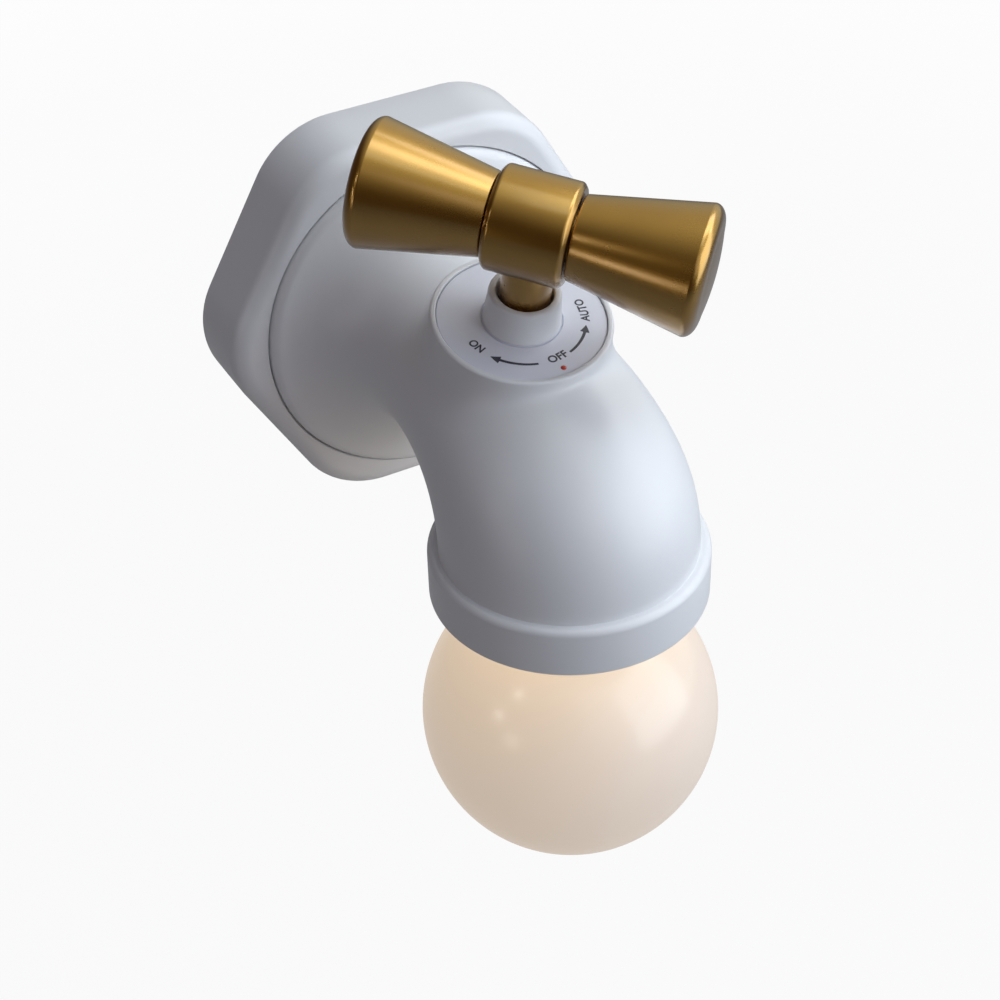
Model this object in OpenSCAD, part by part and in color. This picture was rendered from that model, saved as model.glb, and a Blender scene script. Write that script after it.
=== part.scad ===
// Rechargeable wall light in the shape of a water tap.
// The wall is the plane Y = 0, the light stands out toward -Y, and +Z is up.
// The origin is the centre of the face that rests on the wall.

/* [Base] */
// Width of the hexagonal base across its flats
base_flats = 80; // [76:1:96]
// Depth of the base, from the wall to its front face
base_depth = 17.5; // [16:0.5:26]
// Radius of the six upright corners
base_corner_r = 19; // [8:1:20]
// Radius of the rounded front edge
base_round_r = 3.6; // [2:0.2:3.6]
// Wall thickness of the base housing
base_wall = 2.2; // [1.6:0.1:2.6]
// Gap between the rim of the base and the wall
base_rim_gap = 0.4; // [0.2:0.1:1]
// Depth of the round recess that the elbow's foot sits in
foot_recess = 1.5; // [1:0.1:2]

/* [Wall plate] */
// Radius of the steel wall plate
plate_r = 28; // [24:1:31]
// Thickness of the steel wall plate
plate_t = 1.5; // [1:0.1:2]
// Thickness of the adhesive foam pad
pad_t = 0.8; // [0.5:0.1:1.2]
// Distance between the two screw holes
plate_hole_pitch = 34; // [24:1:40]
// Radius of the screw holes
plate_hole_r = 2.25; // [1.5:0.05:2.5]
// Radius of the four magnets
magnet_r = 5; // [3:0.5:6]
// Thickness of the magnets
magnet_t = 2; // [1.5:0.1:2.2]

/* [Elbow] */
// Radius of the elbow's foot
foot_r = 35.6; // [32:0.2:35.8]
// Half width of the tube where it leaves the foot
tube_half_w = 21; // [18:0.5:23]
// Height of the tube's top line above the axis of the base
tube_top = 18.3; // [17:0.1:19]
// Depth of the tube's bottom line below the axis of the base
tube_bottom = 18.5; // [16:0.5:19]
// Wall thickness of the elbow
tube_wall = 2.2; // [1.6:0.1:2.6]
// Distance from the wall to the axis of the elbow's mouth
mouth_y = 74; // [72:1:80]
// Depth of the mouth below the axis of the base
mouth_z = 21.2; // [20:0.2:30]
// Outer radius of the mouth
mouth_r = 25.2; // [24:0.2:26]

/* [Dial and stem] */
// Distance from the wall to the centre of the dial
dial_y = 56.7; // [54:0.5:58]
// Height of the dial's centre
dial_z = 19.6; // [19:0.2:21]
// Forward tilt of the stem in degrees
stem_tilt = 13.4; // [10:0.2:16]
// Radius of the dial plate
dial_r = 16; // [14:0.5:16.5]
// Thickness of the dial plate
dial_t = 0.8; // [0.6:0.1:1]
// Width of the raised rim round the dial
dial_rim = 1.3; // [1:0.1:2]
// Radius of the stem
stem_r = 4.9; // [3.5:0.1:5]
// Radius of the bonnet at its foot
bonnet_foot_r = 7.4; // [7:0.1:8]
// Radius of the bonnet at its top
bonnet_top_r = 6.8; // [6.2:0.1:7]
// Height of the bonnet above the dial
bonnet_h = 7.1; // [5:0.1:8]

/* [Handle] */
// Height of the handle's axis above the dial
hub_h = 23; // [21:0.5:30]
// Radius of the barrel in the middle of the handle
hub_r = 9.8; // [8:0.1:11]
// Half length of the barrel
hub_half = 7.6; // [6.6:0.1:11]
// Radius of a knob beside the barrel
knob_inner_r = 7.9; // [6.5:0.1:8.5]
// Radius of a knob at its end
knob_outer_r = 12.2; // [9:0.2:14]
// Length of a knob
knob_len = 25.6; // [18:0.2:28]
// Angle of the handle about the stem when the light is off
handle_rest = -44.5; // [-60:0.5:-30]

/* [Lamp head] */
// How far the collar stands out round the mouth
collar_step = 2.1; // [1.6:0.1:4.6]
// Height of the collar
collar_h = 10.6; // [10:0.2:16]
// Radius of the globe
globe_r = 30; // [24:0.5:36]
// Wall thickness of the globe
globe_wall = 1.5; // [1:0.1:2]
// Distance from the collar's lower rim to the centre of the globe
globe_drop = 32.6; // [26:0.2:40]
// Radius of the globe's neck
neck_r = 18; // [15:0.5:20]

/* [Power] */
// Width of the battery cell
battery_w = 42; // [30:1:44]
// Height of the battery cell
battery_h = 29; // [24:1:30]
// Thickness of the battery cell
battery_t = 5.6; // [4:0.1:6.6]
// Width of the control board
board_w = 33; // [28:1:34]
// Height of the control board
board_h = 24; // [20:0.5:24.5]
// Width of the charging socket
usb_w = 8.9; // [8:0.1:9.2]
// Thickness of the charging socket
usb_t = 3.2; // [2.8:0.1:3.3]
// Number of light emitting chips
chip_count = 6; // [4:1:8]

/* [Hidden] */

// Clearances
seat_gap = 0.3;
slip_gap = 0.15;
run_gap = 0.05;
pin_gap = 0.02;

// Round stretches
round_fn = 96;
corner_steps = 8;
edge_steps = 6;

// Base
apothem = base_flats / 2;
inner_apothem = apothem - base_wall;
inner_corner_r = base_corner_r - base_wall;
foot_seat_y = base_depth - foot_recess;
front_wall_y = foot_seat_y - base_wall;
recess_r = foot_r + seat_gap;
cover_back_y = pad_t + plate_t + seat_gap;
cover_t = 2.7;
base_draft = 0.2;
cover_front_y = cover_back_y + cover_t;
cover_apothem = inner_apothem - seat_gap;
cover_post_r = 3;
cover_screw_len = 5;
cover_post_at = inner_apothem - cover_post_r - 0.6;
cover_post_angles = [30, 90, 150, 210, 330];
magnet_at = 18;
magnet_pocket_r = magnet_r + slip_gap;

// Small screws with flat round heads
screw_r = 1.1;
screw_head_r = 2.1;
screw_head_t = 1.2;
screw_hole_r = screw_r + 0.2;
screw_slot_w = 0.6;
screw_slot_d = 0.5;
thread_gap = 0.05;
hole_end_gap = 0.4;

// Elbow
foot_lip = 1;
foot_roll = 2.2;
flare_end_y = 35;
spigot_h = 5;
spigot_t = 2.2;
spigot_r = mouth_r - 1;
elbow_screw_at = foot_r - 7;
elbow_screw_angles = [20, 160, 200, 340];
foot_post_r = 3;
elbow_screw_len = 3.4;
wire_hole_r = 5;
wire_hole_z = -6.4;
loft_sides = 48;
loft_inner_sides = 32;
bend_steps = 16;

// Stem and switch, measured along the stem from the face of the dial
boss_r = dial_r + dial_rim;
boss_rise = 0.4;
boss_edge = 0.4;
boss_flare = 3.6;
boss_depth = 12;
boss_sink = 0.25;
boss_sides = 60;
boss_steps = 7;
sleeve_r = bonnet_foot_r - 1.2;
sleeve_depth = 9;
nut_seat = 4.6;
nut_r = 8.6;
nut_t = 2.4;
nut_sides = 6;
nut_room_r = nut_r + 0.8;
bonnet_bore_r = stem_r + 0.5;
bonnet_bore_h = 5;
bearing_r = stem_r + run_gap;
clip_t = 0.8;
clip_groove_r = stem_r - 1;
clip_r = stem_r + 1.4;
clip_mouth = 2 * clip_groove_r - 1.2;
clip_top = sleeve_depth + 0.1;
tang_w = 3;
tang_len = 3.6;
stem_end = clip_top + clip_t + 1.6;
stem_top = hub_h + 4;
rod_r = 2;
rod_grip = 12;
rod_half = hub_half + rod_grip;

// The switch hangs from a bracket on two posts under the dial
post_r = 2.5;
post_inset = 7.8;
post_at = tube_half_w - post_inset;
bracket_top = stem_end + 0.6;
bracket_t = 1.2;
bracket_half_w = 7;
bracket_screw_grip = 4.6;
rotor_r = 6.4;
rotor_t = 3.2;
rotor_top = bracket_top + bracket_t + seat_gap;
switch_r = 8.6;
switch_top = bracket_top + bracket_t;
switch_h = 7;
switch_wall = 1.2;
terminal_w = 1.4;
terminal_t = 0.5;
terminal_h = 2.6;
terminal_x = [-4, 0, 4];

// A fine groove in the dial frames the bonnet's foot
groove_r = bonnet_foot_r + 0.05;
groove_w = 0.3;
groove_t = 0.25;

// The status light sits at the rim of the dial, in front of the bonnet
light_r = 0.55;
light_at = dial_r - 1.6;
light_angle = -86;

// Handle
knob_gap = seat_gap;
knob_start = hub_half + knob_gap;
knob_round = 2.4;
knob_roll = 3.4;
knob_dome = 0.8;
hub_round = 1.1;

// Lamp head, heights on the axis of the mouth
collar_r = mouth_r + collar_step;
collar_top_z = -mouth_z;
collar_bottom_z = collar_top_z - collar_h;
collar_round = 2;
collar_bore_r = spigot_r + slip_gap;
ledge_t = 2.2;
ledge_top_z = collar_bottom_z + ledge_t;
neck_bore_r = neck_r + seat_gap;
flange_r = neck_r + 3;
flange_t = 1.2;
flange_top_z = ledge_top_z + slip_gap + flange_t;
gasket_t = 0.8;
spigot_bottom_z = collar_top_z - spigot_h;
carrier_top_z = spigot_bottom_z - slip_gap;
carrier_bottom_z = flange_top_z + gasket_t;
carrier_r = collar_bore_r - slip_gap;
carrier_hole_r = 2.5;
pedestal_r = neck_r - globe_wall - 0.8;
pedestal_bottom_z = flange_top_z - flange_t - 1;
led_board_t = 1.2;
led_board_r = pedestal_r - 0.4;
led_board_bottom_z = pedestal_bottom_z - led_board_t;
chip_w = 2.8;
chip_t = 0.7;
chip_at = led_board_r * 0.6;
led_screw_at = led_board_r * 0.6;
led_screw_len = 4;
globe_z = collar_bottom_z - globe_drop;
neck_join = sqrt(globe_r * globe_r - neck_r * neck_r);

// Power pieces in the base
battery_bottom_z = 1;
battery_pad_t = 0.8;
battery_tab_h = 1.6;
battery_front_y = front_wall_y - battery_pad_t;
board_t = 1.2;
board_top_z = -12.6;
board_post_h = 1.2;
board_front_y = front_wall_y - board_post_h;
board_back_y = board_front_y - board_t;
board_post_r = 2;
board_screw_x = board_w / 2 - 2.6;
board_screw_z = board_top_z - 2.6;
board_screw_len = 2.6;
chips_z = board_top_z - board_h / 2;
chip_case_t = 1.4;
charger_w = 5;
controller_w = 6;
controller_h = 4;
driver_w = 3;
coil_r = 2.2;
coil_h = 2.4;
usb_len = 7.3;
usb_wall = 0.35;
usb_face_z = -(inner_apothem + 0.4);
usb_gap = 0.35;
mic_r = 2;
mic_t = 1.6;
mic_x = 10;
mic_port_r = 0.6;

// Wires
wire_r = 0.65;
wire_sides = 6;
wire_steps = 12;
wire_pitch = 1.8;

// A point on a cubic curve through its two ends
function curve(a, b, c, d, t) =
  pow(1 - t, 3) * a + 3 * pow(1 - t, 2) * t * b + 3 * (1 - t) * t * t * c + pow(t, 3) * d;

// Outline of a hexagon with round corners, flats at top and bottom
function round_hex(a, r) = [
  for (k = [0 : 5], j = [0 : corner_steps])
    let (c = 60 * k, away = (a - r) / cos(30), t = c - 30 + 60 * j / corner_steps)
      [away * cos(c) + r * cos(t), away * sin(c) + r * sin(t)]
];

// A smooth solid through rings of equally many points
module loft(rings) {
  n = len(rings[0]);
  last = len(rings) - 1;
  sides = [
    for (k = [0 : last - 1], i = [0 : n - 1])
      let (a = k * n + i, b = k * n + (i + 1) % n)
        each [[a, a + n, b], [b, a + n, b + n]]
  ];
  first_cap = [[for (i = [0 : n - 1]) i]];
  last_cap = [[for (i = [n - 1 : -1 : 0]) last * n + i]];
  polyhedron(points = [for (r = rings) each r], faces = concat(sides, first_cap, last_cap));
}

// Places what is drawn along +Z so that it points from the wall toward -Y
module from_wall(y) {
  translate([0, -y, 0]) rotate([90, 0, 0]) children();
}

// Places what is drawn on the dial, whose face is Z = 0 and whose stem is +Z
module stem_frame() {
  translate([0, -dial_y, dial_z]) rotate([stem_tilt, 0, 0]) children();
}

// The same, turned with the handle, whose knobs lie along X
module handle_frame() {
  stem_frame() rotate([0, 0, handle_rest]) children();
}

// Places what is drawn on the axis of the elbow's mouth
module mouth_frame() {
  translate([0, -mouth_y, 0]) children();
}

module ring(outer, inner, h) {
  difference() {
    cylinder(r = outer, h = h, $fn = round_fn);
    translate([0, 0, -1]) cylinder(r = inner, h = h + 2, $fn = round_fn);
  }
}

// A slotted screw that lies along -Z with its head's underside at Z = 0
module screw(len) {
  difference() {
    union() {
      cylinder(r = screw_head_r, h = screw_head_t, $fn = 32);
      translate([0, 0, -len]) cylinder(r = screw_r, h = len + 0.1, $fn = 32);
    }
    translate([-screw_slot_w / 2, -screw_head_r - 1, screw_head_t - screw_slot_d])
      cube([screw_slot_w, 2 * screw_head_r + 2, screw_slot_d + 1]);
  }
}

module adhesive_pad() {
  color("#3c3d40") from_wall(0) difference() {
    cylinder(r = plate_r - 1, h = pad_t, $fn = round_fn);
    for (s = [-1, 1])
      translate([s * plate_hole_pitch / 2, 0, -1]) cylinder(r = plate_hole_r + 1.2, h = pad_t + 2, $fn = 48);
  }
}

module wall_plate() {
  sink_t = plate_t * 0.5;
  color("#b9bcc0") from_wall(pad_t) difference() {
    cylinder(r = plate_r, h = plate_t, $fn = round_fn);
    for (s = [-1, 1]) translate([s * plate_hole_pitch / 2, 0, 0]) {
      translate([0, 0, -1]) cylinder(r = plate_hole_r, h = plate_t + 2, $fn = 48);
      translate([0, 0, plate_t - sink_t])
        cylinder(r1 = plate_hole_r, r2 = plate_hole_r + 2 * sink_t, h = 2 * sink_t, $fn = 48);
    }
  }
}

module magnets() {
  color("#8d9094") for (a = [0 : 90 : 270])
    rotate([0, a, 0]) translate([magnet_at, 0, 0])
      from_wall(cover_back_y) cylinder(r = magnet_r, h = magnet_t, $fn = 48);
}

module cover_posts_at() {
  for (a = cover_post_angles)
    rotate([0, -a, 0]) translate([cover_post_at, 0, 0]) children();
}

module back_cover() {
  color("#e3e5e9") difference() {
    from_wall(cover_back_y) linear_extrude(cover_t)
      polygon(round_hex(cover_apothem, inner_corner_r - seat_gap));
    for (a = [0 : 90 : 270])
      rotate([0, a, 0]) translate([magnet_at, 0, 0])
        from_wall(cover_back_y - 1) cylinder(r = magnet_pocket_r, h = magnet_t + 1, $fn = 48);
    cover_posts_at() {
      from_wall(cover_back_y - 1) cylinder(r = screw_hole_r, h = cover_t + 2, $fn = 32);
      from_wall(cover_back_y - 1) cylinder(r = screw_head_r + seat_gap, h = screw_head_t + 1.1, $fn = 32);
    }
  }
}

module cover_screws() {
  color("#9a9ca0") cover_posts_at()
    from_wall(cover_back_y + screw_head_t + 0.1) mirror([0, 0, 1]) screw(cover_screw_len);
}

module base_outline() {
  edge_y = base_depth - base_round_r;
  rings = concat(
    [[base_rim_gap, 0], [edge_y, base_draft]],
    [for (k = [1 : edge_steps])
      let (a = 90 * k / edge_steps)
        [edge_y + base_round_r * sin(a), base_draft + base_round_r * (1 - cos(a))]]
  );
  loft([for (s = rings)
    [for (p = round_hex(apothem - s[1], base_corner_r - s[1])) [p[0], -s[0], p[1]]]]);
}

module elbow_screws_at() {
  for (a = elbow_screw_angles)
    rotate([0, -a, 0]) translate([elbow_screw_at, 0, 0]) children();
}

module board_screws_at() {
  for (s = [-1, 1])
    translate([s * board_screw_x, 0, board_screw_z]) children();
}

module base_housing() {
  cavity_start = -1;
  color("#eef1f6") difference() {
    base_outline();
    difference() {
      from_wall(cavity_start) linear_extrude(front_wall_y - cavity_start)
        polygon(round_hex(inner_apothem, inner_corner_r));
      cover_posts_at() from_wall(cover_front_y) cylinder(r = cover_post_r, h = base_depth, $fn = 32);
      board_screws_at() from_wall(board_front_y) cylinder(r = board_post_r, h = base_depth, $fn = 32);
    }
    from_wall(foot_seat_y) cylinder(r = recess_r, h = base_depth, $fn = round_fn);
    translate([0, 0, wire_hole_z]) from_wall(cover_front_y)
      cylinder(r = wire_hole_r, h = base_depth, $fn = 48);
    elbow_screws_at() from_wall(cover_front_y) cylinder(r = screw_hole_r, h = base_depth, $fn = 32);
    cover_posts_at() from_wall(cover_front_y - 1)
      cylinder(r = screw_r + thread_gap, h = 1 + cover_screw_len - cover_t + screw_head_t + hole_end_gap, $fn = 32);
    board_screws_at() from_wall(board_front_y - 1)
      cylinder(r = screw_r + thread_gap, h = 1 + board_screw_len - board_t + hole_end_gap, $fn = 32);
    usb_opening();
    mic_opening();
  }
}

// The slot in the underside that the plug goes through
module usb_opening() {
  half_t = usb_t / 2 + usb_gap;
  half_w = usb_w / 2 + usb_gap;
  translate([0, -(board_back_y - usb_t / 2), -apothem - 1]) {
    for (s = [-1, 1])
      translate([s * (half_w - half_t), 0, 0]) cylinder(r = half_t, h = base_wall + 2, $fn = 32);
    translate([-(half_w - half_t), -half_t, 0]) cube([2 * (half_w - half_t), 2 * half_t, base_wall + 2]);
  }
}

// The small hole in the underside that sound goes through
module mic_opening() {
  translate([mic_x, -(board_back_y - mic_r - 0.4), -apothem - 1])
    cylinder(r = mic_port_r, h = base_wall + 2, $fn = 32);
}

module battery_cell() {
  r = 1.6;
  color("#c9ccd2") {
    translate([0, -battery_front_y, battery_bottom_z]) {
      translate([-battery_w / 2 + r, 0, 0]) cube([battery_w - 2 * r, battery_t, battery_h]);
      translate([-battery_w / 2, r, 0]) cube([battery_w, battery_t - 2 * r, battery_h]);
      for (s = [-1, 1], y = [r, battery_t - r])
        translate([s * (battery_w / 2 - r), y, 0]) cylinder(r = r, h = battery_h, $fn = 32);
    }
    translate([-battery_w / 2 + 2, -battery_front_y + battery_t / 2 - 0.4, battery_bottom_z - battery_tab_h])
      cube([battery_w - 4, 0.8, battery_tab_h + 0.1]);
  }
}

module battery_pad() {
  inset = 3;
  color("#7f8286") translate([-battery_w / 2 + inset, -front_wall_y, battery_bottom_z + inset])
    cube([battery_w - 2 * inset, battery_pad_t, battery_h - 2 * inset]);
}

module control_board() {
  color("#2e6b45") difference() {
    translate([-board_w / 2, -board_front_y, board_top_z - board_h]) cube([board_w, board_t, board_h]);
    board_screws_at() from_wall(board_back_y - 1) cylinder(r = screw_hole_r, h = board_t + 2, $fn = 32);
  }
  color("#26282c") {
    // Charger, controller and driver, in line across the board
    translate([-board_w * 0.4, -board_back_y, chips_z]) cube([charger_w, chip_case_t, charger_w]);
    translate([-board_w * 0.12, -board_back_y, chips_z]) cube([controller_w, chip_case_t, controller_h]);
    translate([board_w * 0.2, -board_back_y, chips_z]) cube([driver_w, chip_case_t, driver_w]);
  }
  color("#c7a05a") translate([board_w * 0.39, -board_back_y, chips_z + coil_r]) from_wall(0)
    mirror([0, 0, 1]) cylinder(r = coil_r, h = coil_h, $fn = 32);
}

module board_screws() {
  color("#9a9ca0") board_screws_at()
    from_wall(board_back_y) mirror([0, 0, 1]) screw(board_screw_len);
}

// A flat tube with round ends that lies along +Z
module flat_tube(w, t, h) {
  for (s = [-1, 1])
    translate([s * (w - t) / 2, 0, 0]) cylinder(r = t / 2, h = h, $fn = 32);
  translate([-(w - t) / 2, -t / 2, 0]) cube([w - t, t, h]);
}

module usb_socket() {
  tongue_t = 0.7;
  back_t = 1;
  color("#c4c7cb") translate([0, -(board_back_y - usb_t / 2), usb_face_z]) {
    difference() {
      flat_tube(usb_w, usb_t, usb_len);
      translate([0, 0, -1]) flat_tube(usb_w - 2 * usb_wall, usb_t - 2 * usb_wall, usb_len - back_t + 1);
    }
    translate([-usb_w / 2 + 1.4, -tongue_t / 2, 0.8]) cube([usb_w - 2.8, tongue_t, usb_len - 1]);
  }
}

module microphone() {
  color("#b8babd") translate([mic_x, -(board_back_y - mic_r - 0.4), -inner_apothem + 0.2]) difference() {
    cylinder(r = mic_r, h = mic_t, $fn = 32);
    translate([0, 0, -1]) cylinder(r = mic_port_r, h = 1.6, $fn = 32);
  }
}

module elbow_screws() {
  color("#9a9ca0") elbow_screws_at()
    from_wall(front_wall_y) mirror([0, 0, 1]) screw(base_wall + elbow_screw_len);
}

// Rings of the elbow as [top point, bottom point, half width], each point as [distance from wall, height].
// The inner skin has the same rings, drawn in by the wall.
function foot_ring(y, r) = [[y, r], [y, -r], r];
function foot_rings(w) = concat(
  [foot_ring(foot_seat_y - w, foot_r - w), foot_ring(foot_seat_y + foot_lip - w, foot_r - w)],
  [for (k = [1 : 3])
    let (a = 25 * k)
      foot_ring(foot_seat_y + foot_lip + foot_roll * sin(a) - w, foot_r - w - foot_roll * (1 - cos(a)))]
);
function flare_end_r(w) = foot_r - w - foot_roll * (1 - cos(75));
function flare_start_y(w) = foot_seat_y + foot_lip + foot_roll * sin(75) - w;
function flare_point(t, r_end, w) = curve(
  [flare_start_y(w), flare_end_r(w)],
  [flare_start_y(w) + 1.2, flare_end_r(w) - 5.5],
  [flare_start_y(w) + 5.5, r_end - w + 1],
  [flare_end_y, r_end - w],
  t
);
function flare_rings(w) = [
  for (k = [1 : 7])
    let (
      t = k / 7,
      top = flare_point(t, tube_top, w),
      bottom = flare_point(t, tube_bottom, w),
      side = flare_point(t, tube_half_w, w)
    )
      [top, [bottom[0], -bottom[1]], side[1]]
];
function bend_ring(t, w) =
  let (
    top = curve([flare_end_y, tube_top], [mouth_y - 10, tube_top + 1.6],
      [mouth_y + mouth_r, mouth_z * 0.5], [mouth_y + mouth_r, -mouth_z], t),
    bottom = curve([flare_end_y, -tube_bottom], [mouth_y - mouth_r - 5, -tube_bottom + 0.4],
      [mouth_y - mouth_r, -tube_bottom - 0.2], [mouth_y - mouth_r, -mouth_z], t),
    across = (top - bottom) / norm(top - bottom),
    blend = t * t * (3 - 2 * t),
    half_w = tube_half_w + (mouth_r - tube_half_w) * blend
  )
    [top - w * across, bottom + w * across, half_w - w];
function ring_point(s, u) =
  let (p = (s[0] + s[1]) / 2 + (s[0] - s[1]) / 2 * sin(u))
    [s[2] * cos(u), -p[0], p[1]];

module elbow_skin(w, n) {
  rings = concat(foot_rings(w), flare_rings(w), [for (k = [1 : bend_steps]) bend_ring(k / bend_steps, w)]);
  loft([for (s = rings) [for (i = [0 : n - 1]) ring_point(s, 360 * i / n)]]);
}

// The point of the tube's outer skin above a place given across the tube and out from the wall
function skin_above(x, out, low = 0, high = 0.8, steps = 16) =
  let (
    t = (low + high) / 2,
    s = bend_ring(t, 0),
    p = ring_point(s, acos(max(-1, min(1, x / s[2]))))
  )
    steps == 0 ? p
      : -p[1] < out ? skin_above(x, out, t, high, steps - 1)
      : skin_above(x, out, low, t, steps - 1);

// A place on the dial's frame, turned into the frame of the whole
function from_stem(p) = [
  p[0],
  p[1] * cos(stem_tilt) - p[2] * sin(stem_tilt) - dial_y,
  p[1] * sin(stem_tilt) + p[2] * cos(stem_tilt) + dial_z
];

// One line down the boss, from its rim to where it runs out into the tube's skin
function boss_line(a) =
  let (
    reach = boss_r + boss_flare,
    x = reach * cos(a),
    out = dial_y - (reach + boss_flare * 0.4) * sin(a),
    foot = skin_above(x, out),
    inward = skin_above(x * 0.9, dial_y + (out - dial_y) * 0.9) - foot,
    rim = from_stem([boss_r * cos(a), boss_r * sin(a), boss_rise - boss_edge]),
    down = from_stem([0, 0, -1]) - from_stem([0, 0, 0]),
    drop = max(0.2, (foot - rim) * down),
    run = norm(foot - rim - drop * down)
  )
    [for (k = [0 : boss_steps])
      curve(rim, rim + 0.75 * drop * down, foot + 0.75 * run * inward / norm(inward), foot, k / boss_steps)
        + [0, 0, -boss_sink * k / boss_steps]];

// The raised round seat of the dial, which flares into the tube all round
module dial_boss() {
  lines = [for (i = [0 : boss_sides - 1]) boss_line(360 * i / boss_sides)];
  loft(concat(
    [[for (i = [0 : boss_sides - 1])
      from_stem([(boss_r - 3) * cos(360 * i / boss_sides), (boss_r - 3) * sin(360 * i / boss_sides), -boss_depth])]],
    [for (k = [boss_steps : -1 : 0]) [for (q = lines) q[k]]],
    [[for (i = [0 : boss_sides - 1])
      from_stem([(boss_r - boss_edge) * cos(360 * i / boss_sides),
        (boss_r - boss_edge) * sin(360 * i / boss_sides), boss_rise])]]
  ));
}

module elbow_body() {
  color("#eef1f6") difference() {
    union() {
      elbow_skin(0, loft_sides);
      dial_boss();
      mouth_frame() translate([0, 0, spigot_bottom_z])
        cylinder(r = spigot_r, h = spigot_h + 2, $fn = round_fn);
    }
    difference() {
      elbow_skin(tube_wall, loft_inner_sides);
      elbow_screws_at() from_wall(0) cylinder(r = foot_post_r, h = base_depth + 3, $fn = 32);
      stem_frame() {
        cylinder(r = boss_r - 5, h = 2 * nut_seat, center = true, $fn = 48);
        for (s = [-1, 1])
          translate([s * post_at, 0, -bracket_top]) cylinder(r = post_r, h = bracket_top, $fn = 32);
      }
    }
    mouth_frame() translate([0, 0, spigot_bottom_z - 1])
      cylinder(r = spigot_r - spigot_t, h = spigot_h + 4, $fn = round_fn);
    elbow_screws_at() from_wall(0)
      cylinder(r = screw_r + thread_gap, h = foot_seat_y + elbow_screw_len + hole_end_gap, $fn = 32);
    stem_frame() {
      translate([0, 0, -dial_t]) cylinder(r = dial_r + slip_gap, h = 4, $fn = round_fn);
      translate([0, 0, -boss_depth - 1]) cylinder(r = sleeve_r + slip_gap, h = boss_depth + 2, $fn = 48);
      translate([0, 0, -bracket_top - 1]) cylinder(r = nut_room_r, h = bracket_top + 1 - nut_seat, $fn = 48);
      for (s = [-1, 1])
        translate([s * post_at, 0, -bracket_top - 1])
          cylinder(r = screw_r + thread_gap, h = 1 + bracket_screw_grip + hole_end_gap, $fn = 32);
    }
  }
}

module status_light() {
  color("#c8443c") stem_frame() rotate([0, 0, light_angle]) translate([light_at, 0, -dial_t])
    cylinder(r = light_r, h = dial_t + 0.1, $fn = 32);
}

module dial_plate() {
  color("#e6e6ee") stem_frame() difference() {
    translate([0, 0, -dial_t]) cylinder(r = dial_r, h = dial_t, $fn = round_fn);
    translate([0, 0, -2]) cylinder(r = sleeve_r + slip_gap, h = 4, $fn = 48);
    rotate([0, 0, light_angle]) translate([light_at, 0, -2]) cylinder(r = light_r + 0.05, h = 4, $fn = 32);
    rotate_extrude($fn = round_fn) translate([groove_r, -groove_t]) square([groove_w, groove_t + 1]);
  }
}

module stem_bonnet() {
  lip = 0.7;
  color("#f2f4f8") stem_frame() rotate_extrude($fn = round_fn) polygon(concat(
    [[bearing_r, -sleeve_depth], [sleeve_r, -sleeve_depth], [sleeve_r, 0], [bonnet_foot_r, 0]],
    [for (k = [0 : 4])
      let (a = 90 * k / 4)
        [bonnet_top_r - lip + lip * cos(a), bonnet_h - lip + lip * sin(a)]],
    [[bonnet_bore_r, bonnet_h], [bonnet_bore_r, bonnet_h - bonnet_bore_h], [bearing_r, bonnet_h - bonnet_bore_h]]
  ));
}

module bonnet_nut() {
  color("#b9bcc0") stem_frame() translate([0, 0, -nut_seat - nut_t]) difference() {
    cylinder(r = nut_r, h = nut_t, $fn = nut_sides);
    translate([0, 0, -1]) cylinder(r = sleeve_r + pin_gap, h = nut_t + 2, $fn = 48);
  }
}

module valve_stem() {
  neck_chamfer = 0.5;
  color("#b08a3c") handle_frame() difference() {
    union() {
      translate([0, 0, -stem_end]) cylinder(r = stem_r, h = stem_end + stem_top - neck_chamfer, $fn = 64);
      translate([0, 0, stem_top - neck_chamfer])
        cylinder(r1 = stem_r, r2 = stem_r - neck_chamfer, h = neck_chamfer, $fn = 64);
      translate([-tang_w / 2, -stem_r + 1, -stem_end - tang_len]) cube([tang_w, 2 * stem_r - 2, tang_len + 1]);
    }
    translate([0, 0, -clip_top - clip_t - 0.1]) difference() {
      cylinder(r = stem_r + 1, h = clip_t + 0.1, $fn = 48);
      translate([0, 0, -1]) cylinder(r = clip_groove_r, h = clip_t + 3, $fn = 48);
    }
    translate([-stem_r - 1, 0, hub_h]) rotate([0, 90, 0]) cylinder(r = rod_r, h = 2 * stem_r + 2, $fn = 48);
  }
}

module stem_clip() {
  color("#6f7277") handle_frame() translate([0, 0, -clip_top - clip_t]) difference() {
    cylinder(r = clip_r, h = clip_t, $fn = 48);
    translate([0, 0, -1]) cylinder(r = clip_groove_r + pin_gap, h = clip_t + 2, $fn = 48);
    translate([-clip_mouth / 2, 0, -1]) cube([clip_mouth, clip_r + 1, clip_t + 2]);
  }
}

// The barrel, with a round at each rim
module handle_hub() {
  color("#b98f3e") handle_frame() translate([0, 0, hub_h]) difference() {
    rotate([0, 90, 0]) rotate_extrude($fn = round_fn) polygon(concat(
      [[0, -hub_half]],
      [for (k = [0 : 5])
        let (a = -90 + 90 * k / 5)
          [hub_r - hub_round + hub_round * cos(a), -hub_half + hub_round + hub_round * sin(a)]],
      [for (k = [0 : 5])
        let (a = 90 * k / 5)
          [hub_r - hub_round + hub_round * cos(a), hub_half - hub_round + hub_round * sin(a)]],
      [[0, hub_half]]
    ));
    translate([-hub_half - 1, 0, 0]) rotate([0, 90, 0]) cylinder(r = rod_r, h = 2 * hub_half + 2, $fn = 48);
    translate([0, 0, -hub_r - 1])
      cylinder(r = stem_r + run_gap, h = hub_r + 1 + stem_top - hub_h + 0.2, $fn = 64);
  }
}

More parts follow.
